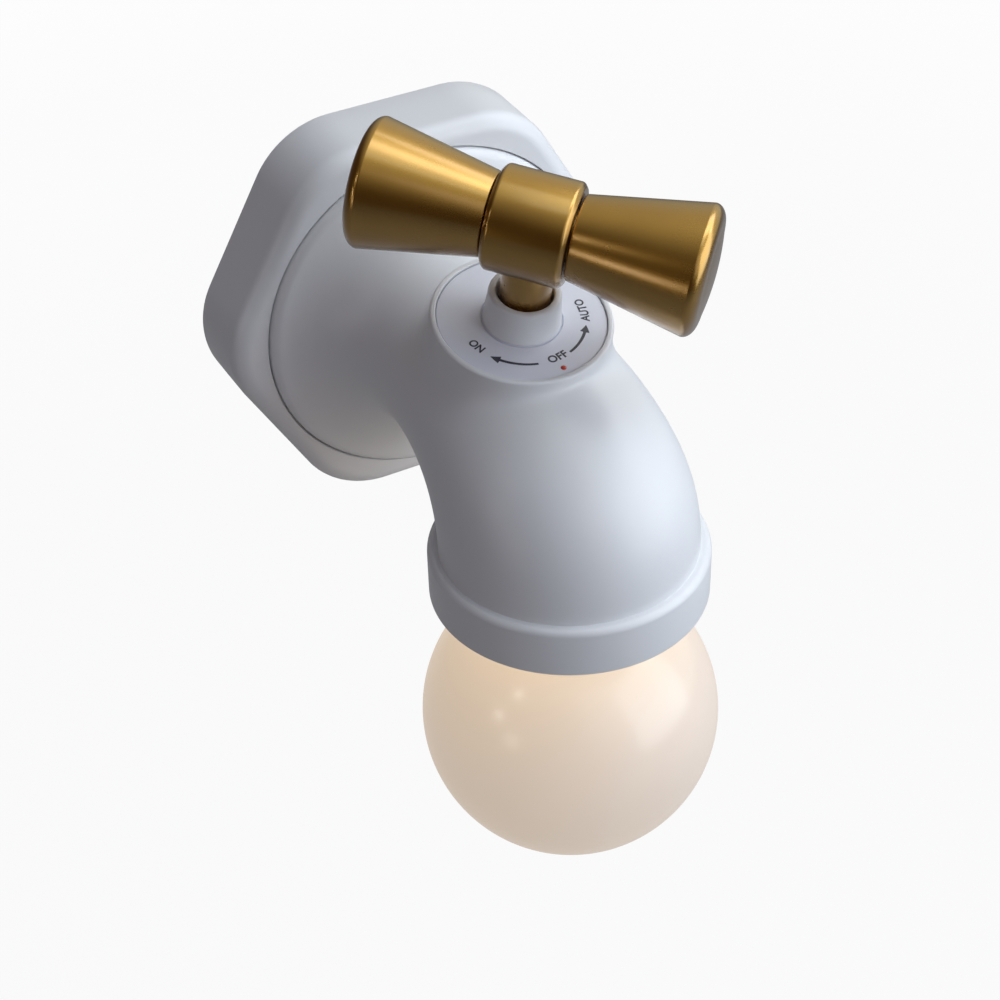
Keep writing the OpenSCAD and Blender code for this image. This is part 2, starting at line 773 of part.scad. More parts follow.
// A cone that widens outward along +Z from beside the barrel, with a round rim and a slightly domed end
module knob() {
  end = knob_start + knob_len;
  spigot = 5;
  difference() {
    rotate_extrude($fn = round_fn) polygon(concat(
      [[0, hub_half], [spigot, hub_half], [spigot, knob_start], [knob_inner_r - 0.5, knob_start],
        [knob_inner_r, knob_start + 0.5]],
      [for (k = [0 : 7])
        let (a = 90 * k / 7)
          [knob_outer_r - knob_roll + knob_roll * cos(a), end - knob_dome - knob_round + knob_round * sin(a)]],
      [for (k = [1 : 4])
        let (r = (knob_outer_r - knob_roll) * (1 - k / 4))
          [r, end - knob_dome * pow(r / (knob_outer_r - knob_roll), 2)]]
    ));
    translate([0, 0, hub_half - 1]) cylinder(r = rod_r, h = rod_half - hub_half + 1.2, $fn = 48);
  }
}

module left_knob() {
  color("#b98f3e") handle_frame() translate([0, 0, hub_h]) rotate([0, -90, 0]) knob();
}

module right_knob() {
  color("#b98f3e") handle_frame() translate([0, 0, hub_h]) rotate([0, 90, 0]) knob();
}

module cross_rod() {
  color("#8d9094") handle_frame() translate([-rod_half, 0, hub_h]) rotate([0, 90, 0])
    cylinder(r = rod_r - pin_gap, h = 2 * rod_half, $fn = 48);
}

module switch_rotor() {
  color("#2f3136") handle_frame() translate([0, 0, -rotor_top - rotor_t]) difference() {
    union() {
      cylinder(r = rotor_r, h = rotor_t, $fn = 64);
      translate([rotor_r - 1.6, -0.8, -0.9]) cube([1.2, 1.6, 1]);
    }
    translate([-tang_w / 2 - 0.1, -stem_r + 0.9, 1]) cube([tang_w + 0.2, 2 * stem_r - 1.8, rotor_t]);
  }
}

module rotary_switch() {
  color("#3a3c42") stem_frame() translate([0, 0, -switch_top - switch_h]) difference() {
    cylinder(r = switch_r, h = switch_h, $fn = 64);
    translate([0, 0, switch_h - rotor_t - 1.6]) cylinder(r = rotor_r + seat_gap, h = rotor_t + 3, $fn = 64);
  }
  color("#c7a05a") stem_frame() for (x = terminal_x)
    translate([x - terminal_w / 2, -terminal_t / 2, -switch_top - switch_h - terminal_h])
      cube([terminal_w, terminal_t, terminal_h + 0.1]);
}

module switch_bracket() {
  half = post_at + post_r + 0.6;
  color("#b9bcc0") stem_frame() translate([0, 0, -bracket_top - bracket_t]) difference() {
    union() {
      translate([-half + bracket_half_w, -bracket_half_w, 0])
        cube([2 * (half - bracket_half_w), 2 * bracket_half_w, bracket_t]);
      for (s = [-1, 1])
        translate([s * (half - bracket_half_w), 0, 0]) cylinder(r = bracket_half_w, h = bracket_t, $fn = 48);
    }
    translate([0, 0, -1]) cylinder(r = rotor_r + seat_gap, h = bracket_t + 2, $fn = 64);
    for (s = [-1, 1])
      translate([s * post_at, 0, -1]) cylinder(r = screw_hole_r, h = bracket_t + 2, $fn = 32);
  }
}

module bracket_screws() {
  color("#9a9ca0") stem_frame() for (s = [-1, 1])
    translate([s * post_at, 0, -bracket_top - bracket_t]) mirror([0, 0, 1]) screw(bracket_t + bracket_screw_grip);
}

module lamp_collar() {
  color("#eef1f6") mouth_frame() translate([0, 0, collar_bottom_z]) rotate_extrude($fn = round_fn) polygon(concat(
    [[neck_bore_r, 0], [collar_r - 0.8, 0], [collar_r, 0.8]],
    [for (k = [0 : 5])
      let (a = 90 * k / 5)
        [collar_r - collar_round + collar_round * cos(a), collar_h - collar_round + collar_round * sin(a)]],
    [[collar_bore_r, collar_h], [collar_bore_r, ledge_t], [neck_bore_r, ledge_t]]
  ));
}

module led_carrier() {
  color("#b9bcc0") mouth_frame() difference() {
    union() {
      translate([0, 0, carrier_bottom_z])
        cylinder(r = carrier_r, h = carrier_top_z - carrier_bottom_z, $fn = round_fn);
      translate([0, 0, pedestal_bottom_z])
        cylinder(r = pedestal_r, h = carrier_bottom_z - pedestal_bottom_z + 0.1, $fn = 72);
    }
    translate([0, 0, pedestal_bottom_z - 1]) cylinder(r = carrier_hole_r, h = collar_h, $fn = 32);
    for (a = [90, 270])
      rotate([0, 0, a]) translate([led_screw_at, 0, pedestal_bottom_z - 1])
        cylinder(r = screw_r + thread_gap, h = 1 + led_screw_len - led_board_t + hole_end_gap, $fn = 32);
  }
}

module led_board() {
  color("#eceff2") mouth_frame() translate([0, 0, led_board_bottom_z]) difference() {
    cylinder(r = led_board_r, h = led_board_t, $fn = 72);
    for (a = [90, 270])
      rotate([0, 0, a]) translate([led_screw_at, 0, -1]) cylinder(r = screw_hole_r, h = led_board_t + 2, $fn = 32);
  }
}

// The chips leave room for the two screws
module led_chips() {
  color("#f4d58a") mouth_frame() for (k = [0 : chip_count - 1])
    rotate([0, 0, 360 * (k + (chip_count % 2 == 0 ? 0 : 0.25)) / chip_count])
      translate([chip_at + (chip_count > 6 ? 2.6 : 0), 0, led_board_bottom_z - chip_t / 2])
        cube([chip_w, chip_w, chip_t], center = true);
}

module led_screws() {
  color("#9a9ca0") mouth_frame() for (a = [90, 270])
    rotate([0, 0, a]) translate([led_screw_at, 0, led_board_bottom_z]) mirror([0, 0, 1]) screw(led_screw_len);
}

module globe() {
  inner_r = globe_r - globe_wall;
  inner_neck = neck_r - globe_wall;
  neck_top = flange_top_z - globe_z;
  flange_bottom = neck_top - flange_t;
  color("#f3e3cf") mouth_frame() translate([0, 0, globe_z]) difference() {
    union() {
      sphere(r = globe_r, $fn = 96);
      translate([0, 0, neck_join - 2]) cylinder(r = neck_r, h = neck_top - neck_join + 2, $fn = round_fn);
      translate([0, 0, flange_bottom]) cylinder(r = flange_r, h = flange_t, $fn = round_fn);
    }
    sphere(r = inner_r, $fn = 96);
    cylinder(r = inner_neck, h = neck_top + 1, $fn = round_fn);
  }
}

module globe_gasket() {
  color("#d9d9d6") mouth_frame() translate([0, 0, flange_top_z]) ring(flange_r, pedestal_r + 0.6, gasket_t);
}

// Points along a cubic curve, without its last point
function curve_points(a, b, c, d) = [for (k = [0 : wire_steps - 1]) curve(a, b, c, d, k / wire_steps)];

// A wire along a path of points
module wire(path) {
  last = len(path) - 1;
  loft([
    for (k = [0 : last])
      let (
        along = path[min(k + 1, last)] - path[max(k - 1, 0)],
        f = along / norm(along),
        s = cross(f, [1, 0, 0]) / norm(cross(f, [1, 0, 0])),
        u = cross(f, s)
      )
        [for (i = [0 : wire_sides - 1])
          path[k] + wire_r * (cos(360 * i / wire_sides) * s + sin(360 * i / wire_sides) * u)]
  ]);
}

// Two wires from the cell's tab down to the board
module battery_leads() {
  for (k = [0, 1]) {
    to = [-board_screw_x + 4.2 + 1.6 * wire_pitch * k, -board_back_y + 0.1, board_screw_z - 0.9];
    from = [to[0] - wire_pitch, -battery_front_y + battery_t / 2, battery_bottom_z - battery_tab_h - 0.1];
    reach = (from[2] - to[2]) * 0.3;
    color(k == 0 ? "#a8322c" : "#2a2a2c")
      wire(concat(curve_points(from, from - [0, 0, reach], to + [0, reach, 0], to), [to]));
  }
}

// The place of a wire in the hole through the base's front wall
function in_wire_hole(x, z) = [x, -(front_wall_y + base_wall / 2), wire_hole_z + z];

// Three wires from the board through the base's front wall to the switch
module switch_leads() {
  down = [0, sin(stem_tilt), -cos(stem_tilt)];
  depth = switch_top + switch_h + terminal_h + 0.1;
  reach = (dial_y - front_wall_y) * 0.3;
  for (k = [0 : 2]) {
    from = [(k - 1) * wire_pitch, -board_back_y + 0.1, board_top_z - 2.4];
    through = in_wire_hole(from[0], 1.2);
    to = [terminal_x[k], -dial_y, dial_z] + depth * down;
    color("#e8e6df") wire(concat(
      curve_points(from, from + [0, 5, 0], through + [0, 6, 0], through),
      curve_points(through, through - [0, reach, 0], to + 0.7 * reach * down, to),
      [to]
    ));
  }
}

// Two wires from the board to the board of the lamp, which pass outside those of the switch
module lamp_leads() {
  reach = (mouth_y - front_wall_y) * 0.36;
  for (side = [-1, 1]) {
    start_x = side * 2 * wire_pitch;
    from = [start_x, -board_back_y + 0.1, board_top_z - 4.4];
    through = in_wire_hole(start_x, -1);
    to = [side * wire_pitch / 2, -mouth_y, pedestal_bottom_z + 0.1];
    color(side < 0 ? "#a8322c" : "#2a2a2c") wire(concat(
      curve_points(from, from + [0, 6.5, 0], through + [0, 7.5, 0], through),
      curve_points(through, through + [side * 1.2 * switch_r, -reach, 0], to + [0, 0, reach], to),
      [to]
    ));
  }
}

adhesive_pad();
wall_plate();
magnets();
back_cover();
cover_screws();
base_housing();
battery_cell();
battery_pad();
control_board();
board_screws();
usb_socket();
microphone();
elbow_screws();
elbow_body();
dial_plate();
status_light();
stem_bonnet();
bonnet_nut();
valve_stem();
stem_clip();
handle_hub();
left_knob();
right_knob();
cross_rod();
switch_rotor();
rotary_switch();
switch_bracket();
bracket_screws();
lamp_collar();
led_carrier();
led_board();
led_chips();
led_screws();
globe();
globe_gasket();
battery_leads();
switch_leads();
lamp_leads();
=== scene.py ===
"""Wall light in the shape of a water tap, dressed around its packed construction model.

Lengths are in millimetres in the frame of the wall light: the wall is Y = 0, the light stands out
toward -Y and +Z is up. They turn into metres where a mesh is made.
"""

import logging
import math
from dataclasses import dataclass
from enum import Enum
from typing import Callable, Iterable, Sequence, TypeAlias

import bmesh
import bpy
from mathutils import Matrix, Vector


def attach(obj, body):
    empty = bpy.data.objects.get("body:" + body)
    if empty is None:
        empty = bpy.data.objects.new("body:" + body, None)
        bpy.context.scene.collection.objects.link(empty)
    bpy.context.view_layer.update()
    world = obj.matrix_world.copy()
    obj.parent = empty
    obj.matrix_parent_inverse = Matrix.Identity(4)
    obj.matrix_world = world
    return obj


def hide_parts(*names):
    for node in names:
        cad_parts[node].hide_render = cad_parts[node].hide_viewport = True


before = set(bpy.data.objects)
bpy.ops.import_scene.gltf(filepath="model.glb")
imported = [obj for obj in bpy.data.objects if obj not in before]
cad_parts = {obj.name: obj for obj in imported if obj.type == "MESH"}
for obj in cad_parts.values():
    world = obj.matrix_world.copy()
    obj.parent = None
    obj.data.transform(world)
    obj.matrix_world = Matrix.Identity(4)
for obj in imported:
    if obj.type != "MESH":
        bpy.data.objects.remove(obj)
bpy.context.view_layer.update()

log = logging.getLogger("wall_light")

MM = 0.001
MICROMETRE = 1e-6
FINE_SIDES = 144
CREASE = 35.0
Numbers: TypeAlias = Sequence[float]
Profile: TypeAlias = list[tuple[float, float]]
Place: TypeAlias = tuple[float, float, float]
Colour: TypeAlias = tuple[float, float, float]
Section: TypeAlias = tuple[Vector, Vector, float]
Piece: TypeAlias = bpy.types.Object
Tree: TypeAlias = bpy.types.NodeTree
Node: TypeAlias = bpy.types.Node
Socket: TypeAlias = bpy.types.NodeSocket


class Body(Enum):
    """The two bodies that pieces ride on."""

    LAMP = "lamp"
    HANDLE = "handle"


class Reach(Enum):
    """What a light of the studio acts on."""

    ALL = "all"
    GLOSS = "gloss"
    MATTE = "matte"


class Slot(Enum):
    """Names of the record's material slots, one listed with each visible piece."""

    WHITE = "white_plastic"
    PRINT = "dial_print"
    RED = "red_indicator"
    GOLD = "antique_gold"
    MILKY = "milky_diffuser"


class Effect(Enum):
    """The surface effects that materials share, each a node group."""

    MOTTLE = "tone_mottle"
    GRAIN = "fine_grain"
    BAND = "height_band"


class Word(Enum):
    """The settings printed on the dial."""

    ON = "ON"
    OFF = "OFF"
    AUTO = "AUTO"


# Points and profiles


def cubic(a: Numbers, b: Numbers, c: Numbers, d: Numbers, t: float) -> Vector:
    """Finds a point on a cubic curve.

    Args:
        a: Start of the curve.
        b: Handle of the start.
        c: Handle of the end.
        d: End of the curve.
        t: How far along, from 0 to 1.

    Returns:
        The point.
    """
    s = 1 - t
    start, end = s**3 * Vector(a), t**3 * Vector(d)
    return start + 3 * s * s * t * Vector(b) + 3 * s * t * t * Vector(c) + end


def rounded(corners: Sequence[Place], closed: bool = False, step: float = 9.0) -> Profile:
    """Rounds the corners of a profile.

    Args:
        corners: Each corner as (radius, height, rounding).
        closed: Whether the last corner joins the first.
        step: Degrees of arc for each short edge.

    Returns:
        The points of the rounded profile.
    """
    least_turn, most_share = 0.02, 0.48
    points: Profile = []
    count = len(corners)
    for k, (r, z, rounding) in enumerate(corners):
        here = Vector((r, z))
        if rounding <= 0 or (not closed and k in (0, count - 1)):
            points.append((r, z))
            continue
        before = Vector(corners[k - 1][:2]) - here
        after = Vector(corners[(k + 1) % count][:2]) - here
        opening = before.angle(after)
        turn = math.pi - opening
        if turn < least_turn:
            points.append((r, z))
            continue
        cut = min(rounding / math.tan(opening / 2), most_share * min(before.length, after.length))
        radius = cut * math.tan(opening / 2)
        middle = (before.normalized() + after.normalized()).normalized()
        centre = here + middle * (radius / math.sin(opening / 2))
        start = here + before.normalized() * cut - centre
        end = here + after.normalized() * cut - centre
        steps = max(2, math.ceil(math.degrees(turn) / step))
        for i in range(steps + 1):
            f = i / steps
            way = (start * math.sin((1 - f) * turn) + end * math.sin(f * turn)) / math.sin(turn)
            points.append(tuple(centre + way))
    return points


def around(r: float, angle: float, z: float) -> Place:
    """Gives the point at a radius, an angle in radians and a height."""
    return r * math.cos(angle), r * math.sin(angle), z


# Meshes


def make_piece(name: str, points: Iterable[Numbers], faces: Iterable[Sequence[int]],
               place: Matrix = Matrix.Identity(4), crease: float = CREASE) -> Piece:
    """Makes a closed, smooth shaded object.

    Args:
        name: Name of the piece.
        points: Its points in millimetres, before they are placed.
        faces: Its faces as lists of point numbers.
        place: Where the piece stands in the frame of the wall light.
        crease: Degrees from which an edge stays sharp.

    Returns:
        The object.
    """
    mesh = bpy.data.meshes.new(name)
    mesh.from_pydata([(place @ Vector(p)) * MM for p in points], [], [list(f) for f in faces])
    build = bmesh.new()
    build.from_mesh(mesh)
    bmesh.ops.recalc_face_normals(build, faces=build.faces)
    build.to_mesh(mesh)
    build.free()
    mesh.shade_smooth()
    mesh.set_sharp_from_angle(angle=math.radians(crease))
    mesh.update()
    piece = bpy.data.objects.new(name, mesh)
    bpy.context.scene.collection.objects.link(piece)
    return piece


def loft(rings: Sequence[Sequence[Numbers]], closed: bool = False) -> tuple[list, list]:
    """Joins rings of points into one skin. A ring of one point is a pole.

    Args:
        rings: The rings in order.
        closed: Whether the last ring joins the first.

    Returns:
        The points and the faces.
    """
    points: list = []
    starts: list[int] = []
    for ring in rings:
        starts.append(len(points))
        points.extend(ring)
    faces: list = []
    count = len(rings)
    for k in range(count if closed else count - 1):
        a, b = rings[k], rings[(k + 1) % count]
        first, second = starts[k], starts[(k + 1) % count]
        sides = max(len(a), len(b))
        for i in range(sides):
            j = (i + 1) % sides
            if len(a) == 1:
                faces.append((first, second + i, second + j))
            elif len(b) == 1:
                faces.append((first + i, second, first + j))
            else:
                faces.append((first + i, second + i, second + j, first + j))
    return points, faces


def capped(rings: Sequence[Sequence[Numbers]]) -> tuple[list, list]:
    """Joins rings of points into a skin that is closed at both ends.

    Args:
        rings: The rings in order, all with as many points.

    Returns:
        The points and the faces.
    """
    points, faces = loft(rings)
    sides, last = len(rings[0]), len(points) - 1
    return points, faces + [tuple(range(sides)), tuple(range(last, last - sides, -1))]


class Skin:
    """The points and faces of a mesh while it is built ring by ring."""

    def __init__(self) -> None:
        """Starts empty."""
        self.points: list[Vector] = []
        self.faces: list[tuple[int, ...]] = []

    def store(self, new: Sequence[Vector]) -> int:
        """Stores points.

        Args:
            new: The points.

        Returns:
            The number of the first one.
        """
        start = len(self.points)
        self.points.extend(new)
        return start

    def join(self, a: int, b: int, count: int, hole: range = range(0)) -> None:
        """Joins two stored rings.

        Args:
            a: First point of the one ring.
            b: First point of the other ring.
            count: Points in each ring.
            hole: Columns that are left open.
        """
        for i in range(count):
            if i not in hole:
                j = (i + 1) % count
                self.faces.append((a + i, b + i, b + j, a + j))


def lathe(name: str, profile: Profile, place: Matrix, closed: bool = False,
          sides: int = FINE_SIDES) -> Piece:
    """Turns a profile round the Z axis.

    Args:
        name: Name of the piece.
        profile: Points as (radius, height).
        place: Where the piece stands.
        closed: Whether the profile is a loop, as on a ring.
        sides: Number of sides of the round.

    Returns:
        The object.
    """
    pole_r = 1e-6
    turns = [math.tau * i / sides for i in range(sides)]
    rings = [[(0.0, 0.0, z)] if r < pole_r else [around(r, a, z) for a in turns]
             for r, z in profile]
    return make_piece(name, *loft(rings, closed), place=place)


def baked_mesh(piece: Piece) -> bpy.types.Mesh:
    """Gives the mesh of an object as its curve or its modifiers make it.

    Args:
        piece: The object.

    Returns:
        A mesh of its own.
    """
    bpy.context.view_layer.update()
    graph = bpy.context.evaluated_depsgraph_get()
    return bpy.data.meshes.new_from_object(piece.evaluated_get(graph))


def cut_away(piece: Piece, cutters: Sequence[Piece]) -> None:
    """Cuts closed pieces out of another and throws them away.

    Args:
        piece: The piece to cut.
        cutters: The pieces to take out of it.
    """
    for cutter in cutters:
        step = piece.modifiers.new(cutter.name, "BOOLEAN")
        step.operation = "DIFFERENCE"
        step.solver = "EXACT"
        step.object = cutter
    result = baked_mesh(piece)
    piece.modifiers.clear()
    piece.data = result
    result.shade_smooth()
    result.set_sharp_from_angle(angle=math.radians(CREASE))
    for cutter in cutters:
        bpy.data.objects.remove(cutter)


# Shader node groups


class Graph:
    """A small helper that places and links the nodes of one tree."""

    def __init__(self, tree: Tree) -> None:
        """Keeps the tree."""
        self.tree = tree

    @classmethod
    def of(cls, owner: bpy.types.Material | bpy.types.World) -> "Graph":
        """Empties the graph of a material or a world.

        Args:
            owner: The material or the world.

        Returns:
            Its graph.
        """
        owner.use_nodes = True
        owner.node_tree.nodes.clear()
        return cls(owner.node_tree)

    def feed(self, socket: Socket, value: object) -> None:
        """Links a socket to another one, or gives it a plain value.

        Args:
            socket: The socket to feed.
            value: A socket to link from, or a plain value.
        """
        if isinstance(value, Socket):
            self.tree.links.new(value, socket)
        else:
            socket.default_value = value

    def add(self, kind: str, inputs: dict | None = None, **settings: object) -> Node:
        """Adds a node.

        Args:
            kind: Type of the node.
            inputs: Sockets by name or number, each a plain value or a socket to link from.
            settings: Properties of the node.

        Returns:
            The node.
        """
        node = self.tree.nodes.new(kind)
        for key, value in settings.items():
            setattr(node, key, value)
        for key, value in (inputs or {}).items():
            self.feed(node.inputs[key], value)
        return node

    def mix(self, factor: object, a: object, b: object) -> Socket:
        """Mixes two colours.

        Args:
            factor: Share of the second colour, a value or a socket.
            a: First colour, a value or a socket.
            b: Second colour, a value or a socket.

        Returns:
            The socket of the mixed colour.
        """
        first, second, result = 6, 7, 2
        node = self.add("ShaderNodeMix", {0: factor, first: a, second: b}, data_type="RGBA")
        return node.outputs[result]

    def math(self, operation: str, a: object, b: object = 0.0, clamp: bool = False) -> Socket:
        """Works a value out of two others, and gives the socket of the result."""
        node = self.add("ShaderNodeMath", {0: a, 1: b}, operation=operation, use_clamp=clamp)
        return node.outputs[0]

    def blend(self, factor: object, a: Node, b: Node) -> Node:
        """Mixes two shaders, the second one by the factor, and gives the node."""
        return self.add("ShaderNodeMixShader", {0: factor, 1: a.outputs[0], 2: b.outputs[0]})

    def finish(self, kind: str, shader: Node) -> None:
        """Links a shader to a new output node of the given kind."""
        self.add(kind, {"Surface": shader.outputs[0]})


class SocketKind(Enum):
    """The kinds of socket that the node groups have."""

    COLOUR = "NodeSocketColor"
    VALUE = "NodeSocketFloat"
    VECTOR = "NodeSocketVector"


class NodeGroup(Graph):
    """A shader node group with named inputs and outputs."""

    def __init__(self, effect: Effect, inputs: dict[str, tuple[SocketKind, object]],
                 outputs: dict[str, SocketKind]) -> None:
        """Starts the group.

        Args:
            effect: The effect that it makes.
            inputs: The kind and the default value of each input.
            outputs: The kind of each output.
        """
        super().__init__(bpy.data.node_groups.new(effect.value, "ShaderNodeTree"))
        face = self.tree.interface
        for label, (kind, value) in inputs.items():
            socket = face.new_socket(name=label, in_out="INPUT", socket_type=kind.value)
            socket.default_value = value
        for label, kind in outputs.items():
            face.new_socket(name=label, in_out="OUTPUT", socket_type=kind.value)
        self.given = self.add("NodeGroupInput").outputs
        self.result = self.add("NodeGroupOutput").inputs
        self.place = self.add("ShaderNodeTexCoord").outputs["Object"]

    def cloud(self, place: object, scale: object, detail: float, roughness: float = 0.5) -> Socket:
        """Adds a cloud of noise, looked up at a place, and gives the socket of its value."""
        return self.add("ShaderNodeTexNoise", {"Vector": place, "Scale": scale, "Detail": detail,
                                               "Roughness": roughness}).outputs["Fac"]


def build_mottle_group() -> Tree:
    """Builds the slow drift of tone that every moulded, painted or plated surface has.

    Returns:
        The group's tree.
    """
    group = NodeGroup(Effect.MOTTLE,
                      {"Colour": (SocketKind.COLOUR, (0.8, 0.8, 0.8, 1)),
                       "Shade": (SocketKind.COLOUR, (0.7, 0.7, 0.7, 1)),
                       "Scale": (SocketKind.VALUE, 60.0), "Amount": (SocketKind.VALUE, 0.5)},
                      {"Colour": SocketKind.COLOUR, "Mask": SocketKind.VALUE})
    cloud = group.cloud(group.place, group.given["Scale"], detail=4.0, roughness=0.55)
    spread = group.add("ShaderNodeMapRange", {"Value": cloud, "From Min": 0.35, "From Max": 0.68})
    mask = group.math("MULTIPLY", spread.outputs[0], group.given["Amount"], clamp=True)
    group.feed(group.result["Colour"], group.mix(mask, group.given["Colour"], group.given["Shade"]))
    group.feed(group.result["Mask"], mask)
    return group.tree


def build_grain_group() -> Tree:
    """Builds the fine grain of a mould, a spray coat or a brush, stretched along any axis.

    Returns:
        The group's tree.
    """
    group = NodeGroup(Effect.GRAIN,
                      {"Scale": (SocketKind.VALUE, 900.0),
                       "Stretch": (SocketKind.VECTOR, (1.0, 1.0, 1.0)),
                       "Turn": (SocketKind.VECTOR, (0.0, 0.0, 0.0)),
                       "Base": (SocketKind.VALUE, 0.35), "Spread": (SocketKind.VALUE, 0.08)},
                      {"Height": SocketKind.VALUE, "Roughness": SocketKind.VALUE})
    given = group.given
    turned = group.add("ShaderNodeMapping", {"Vector": group.place, "Rotation": given["Turn"]})
    pulled = group.add("ShaderNodeVectorMath", {0: turned.outputs[0], 1: given["Stretch"]},
                       operation="MULTIPLY")
    fine = group.cloud(pulled.outputs[0], given["Scale"], detail=3.0, roughness=0.6)
    broad = group.cloud(group.place, 90.0, detail=3.0)
    both = group.math("ADD", group.math("MULTIPLY", fine, 0.5), group.math("MULTIPLY", broad, 0.5))
    uneven = group.math("MULTIPLY", group.math("SUBTRACT", both, 0.5), given["Spread"])
    group.feed(group.result["Height"], fine)
    group.feed(group.result["Roughness"], group.math("ADD", given["Base"], uneven, clamp=True))
    return group.tree


def build_band_group() -> Tree:
    """Builds a soft band between two heights, 1 at the upper one, with a little cloud in it.

    Returns:
        The group's tree.
    """
    white = (SocketKind.COLOUR, (1, 1, 1, 1))
    group = NodeGroup(Effect.BAND,
                      {"Low": (SocketKind.VALUE, 0.0), "High": (SocketKind.VALUE, 1.0),
                       "Power": (SocketKind.VALUE, 1.0), "Low Colour": white, "High Colour": white},
                      {"Colour": SocketKind.COLOUR, "Mask": SocketKind.VALUE})
    height = group.add("ShaderNodeSeparateXYZ", {0: group.place}).outputs["Z"]
    cloud, most_drift = group.cloud(group.place, 24.0, detail=2.0), 8 * MM
    drift = group.math("MULTIPLY", group.math("SUBTRACT", cloud, 0.5), most_drift)
    given = group.given
    drifted = group.math("ADD", height, drift)
    share = group.add("ShaderNodeMapRange", {
        "Value": drifted, "From Min": given["Low"], "From Max": given["High"]})
    mask = group.math("POWER", share.outputs[0], given["Power"], clamp=True)
    group.feed(group.result["Colour"], group.mix(mask, given["Low Colour"], given["High Colour"]))
    group.feed(group.result["Mask"], mask)
    return group.tree


class GroupShelf:
    """Builds each node group once and hands it out."""

    makers: dict[Effect, Callable[[], Tree]] = {
        Effect.MOTTLE: build_mottle_group, Effect.GRAIN: build_grain_group,
        Effect.BAND: build_band_group}

    def __init__(self) -> None:
        """Starts with an empty shelf."""
        self.made: dict[Effect, Tree] = {}

    def get(self, effect: Effect) -> Tree:
        """Gives the group of an effect, built on its first use.

        Args:
            effect: The effect.

        Returns:
            The group's tree.
        """
        if effect not in self.made:
            self.made[effect] = self.makers[effect]()
        return self.made[effect]


shelf = GroupShelf()
made_materials: dict[str, bpy.types.Material] = {}


# Finishes


@dataclass(frozen=True)
class Finish:
    """A surface finish: its two tones, its gloss and its grain.

    Attributes:
        name: Name of the material.
        tone: Main colour.
        shade: Colour that the main one drifts to.
        drift: How far it drifts.
        drift_scale: Scale of the drift.
        gloss: Middle roughness.
        gloss_spread: How far the roughness varies.
        metallic: 1 for bare metal.
        grain_scale: Scale of the grain.
        grain_stretch: Stretch of the grain along the turned axes.
        grain_turn: Turn of the grain in degrees.
        grain_height: Depth of the grain in micrometres.
        coat: Weight of a clear coat.
        coat_gloss: Roughness of the clear coat.
        coat_ior: Refractive index of the clear coat.
    """

    name: str
    tone: Colour
    shade: Colour
    drift: float = 0.5
    drift_scale: float = 60.0
    gloss: float = 0.4
    gloss_spread: float = 0.12
    metallic: float = 0.0
    grain_scale: float = 1400.0
    grain_stretch: Place = (1.0, 1.0, 1.0)
    grain_turn: Place = (0.0, 0.0, 0.0)
    grain_height: float = 8.0
    coat: float = 0.0
    coat_gloss: float = 0.12
    coat_ior: float = 1.5

    def material(self) -> bpy.types.Material:
        """Gives the material, built on its first use.

        Returns:
            The material.
        """
        if self.name in made_materials:
            return made_materials[self.name]
        material = bpy.data.materials.new(self.name)
        made_materials[self.name] = material
        graph = Graph.of(material)
        shader = graph.add("ShaderNodeBsdfPrincipled", {
            "Metallic": self.metallic, "Coat Weight": self.coat, "Coat Roughness": self.coat_gloss,
            "Coat IOR": self.coat_ior})
        self.connect(graph, shader)
        graph.finish("ShaderNodeOutputMaterial", shader)
        return material

    def connect(self, graph: Graph, shader: Node) -> None:
        """Feeds the shader its colour, roughness and bump.

        Args:
            graph: Graph of the material.
            shader: The principled shader.
        """
        turn = [math.radians(a) for a in self.grain_turn]
        drift = graph.add("ShaderNodeGroup", node_tree=shelf.get(Effect.MOTTLE))
        grain = graph.add("ShaderNodeGroup", node_tree=shelf.get(Effect.GRAIN))
        for node, values in (
                (drift, {"Colour": (*self.tone, 1), "Shade": (*self.shade, 1),
                         "Scale": self.drift_scale, "Amount": self.drift}),
                (grain, {"Scale": self.grain_scale, "Stretch": self.grain_stretch, "Turn": turn,
                         "Base": self.gloss, "Spread": self.gloss_spread})):
            for label, value in values.items():
                graph.feed(node.inputs[label], value)
        bump = graph.add("ShaderNodeBump", {"Height": grain.outputs["Height"], "Strength": 1.0,
                                            "Distance": self.grain_height * MICROMETRE})
        graph.feed(shader.inputs["Base Color"], drift.outputs["Colour"])
        graph.feed(shader.inputs["Roughness"], grain.outputs["Roughness"])
        graph.feed(shader.inputs["Normal"], bump.outputs[0])

    def dress(self, piece: Piece) -> None:
        """Puts the finish on every face of a piece."""
        piece.data.materials.clear()
        piece.data.materials.append(self.material())


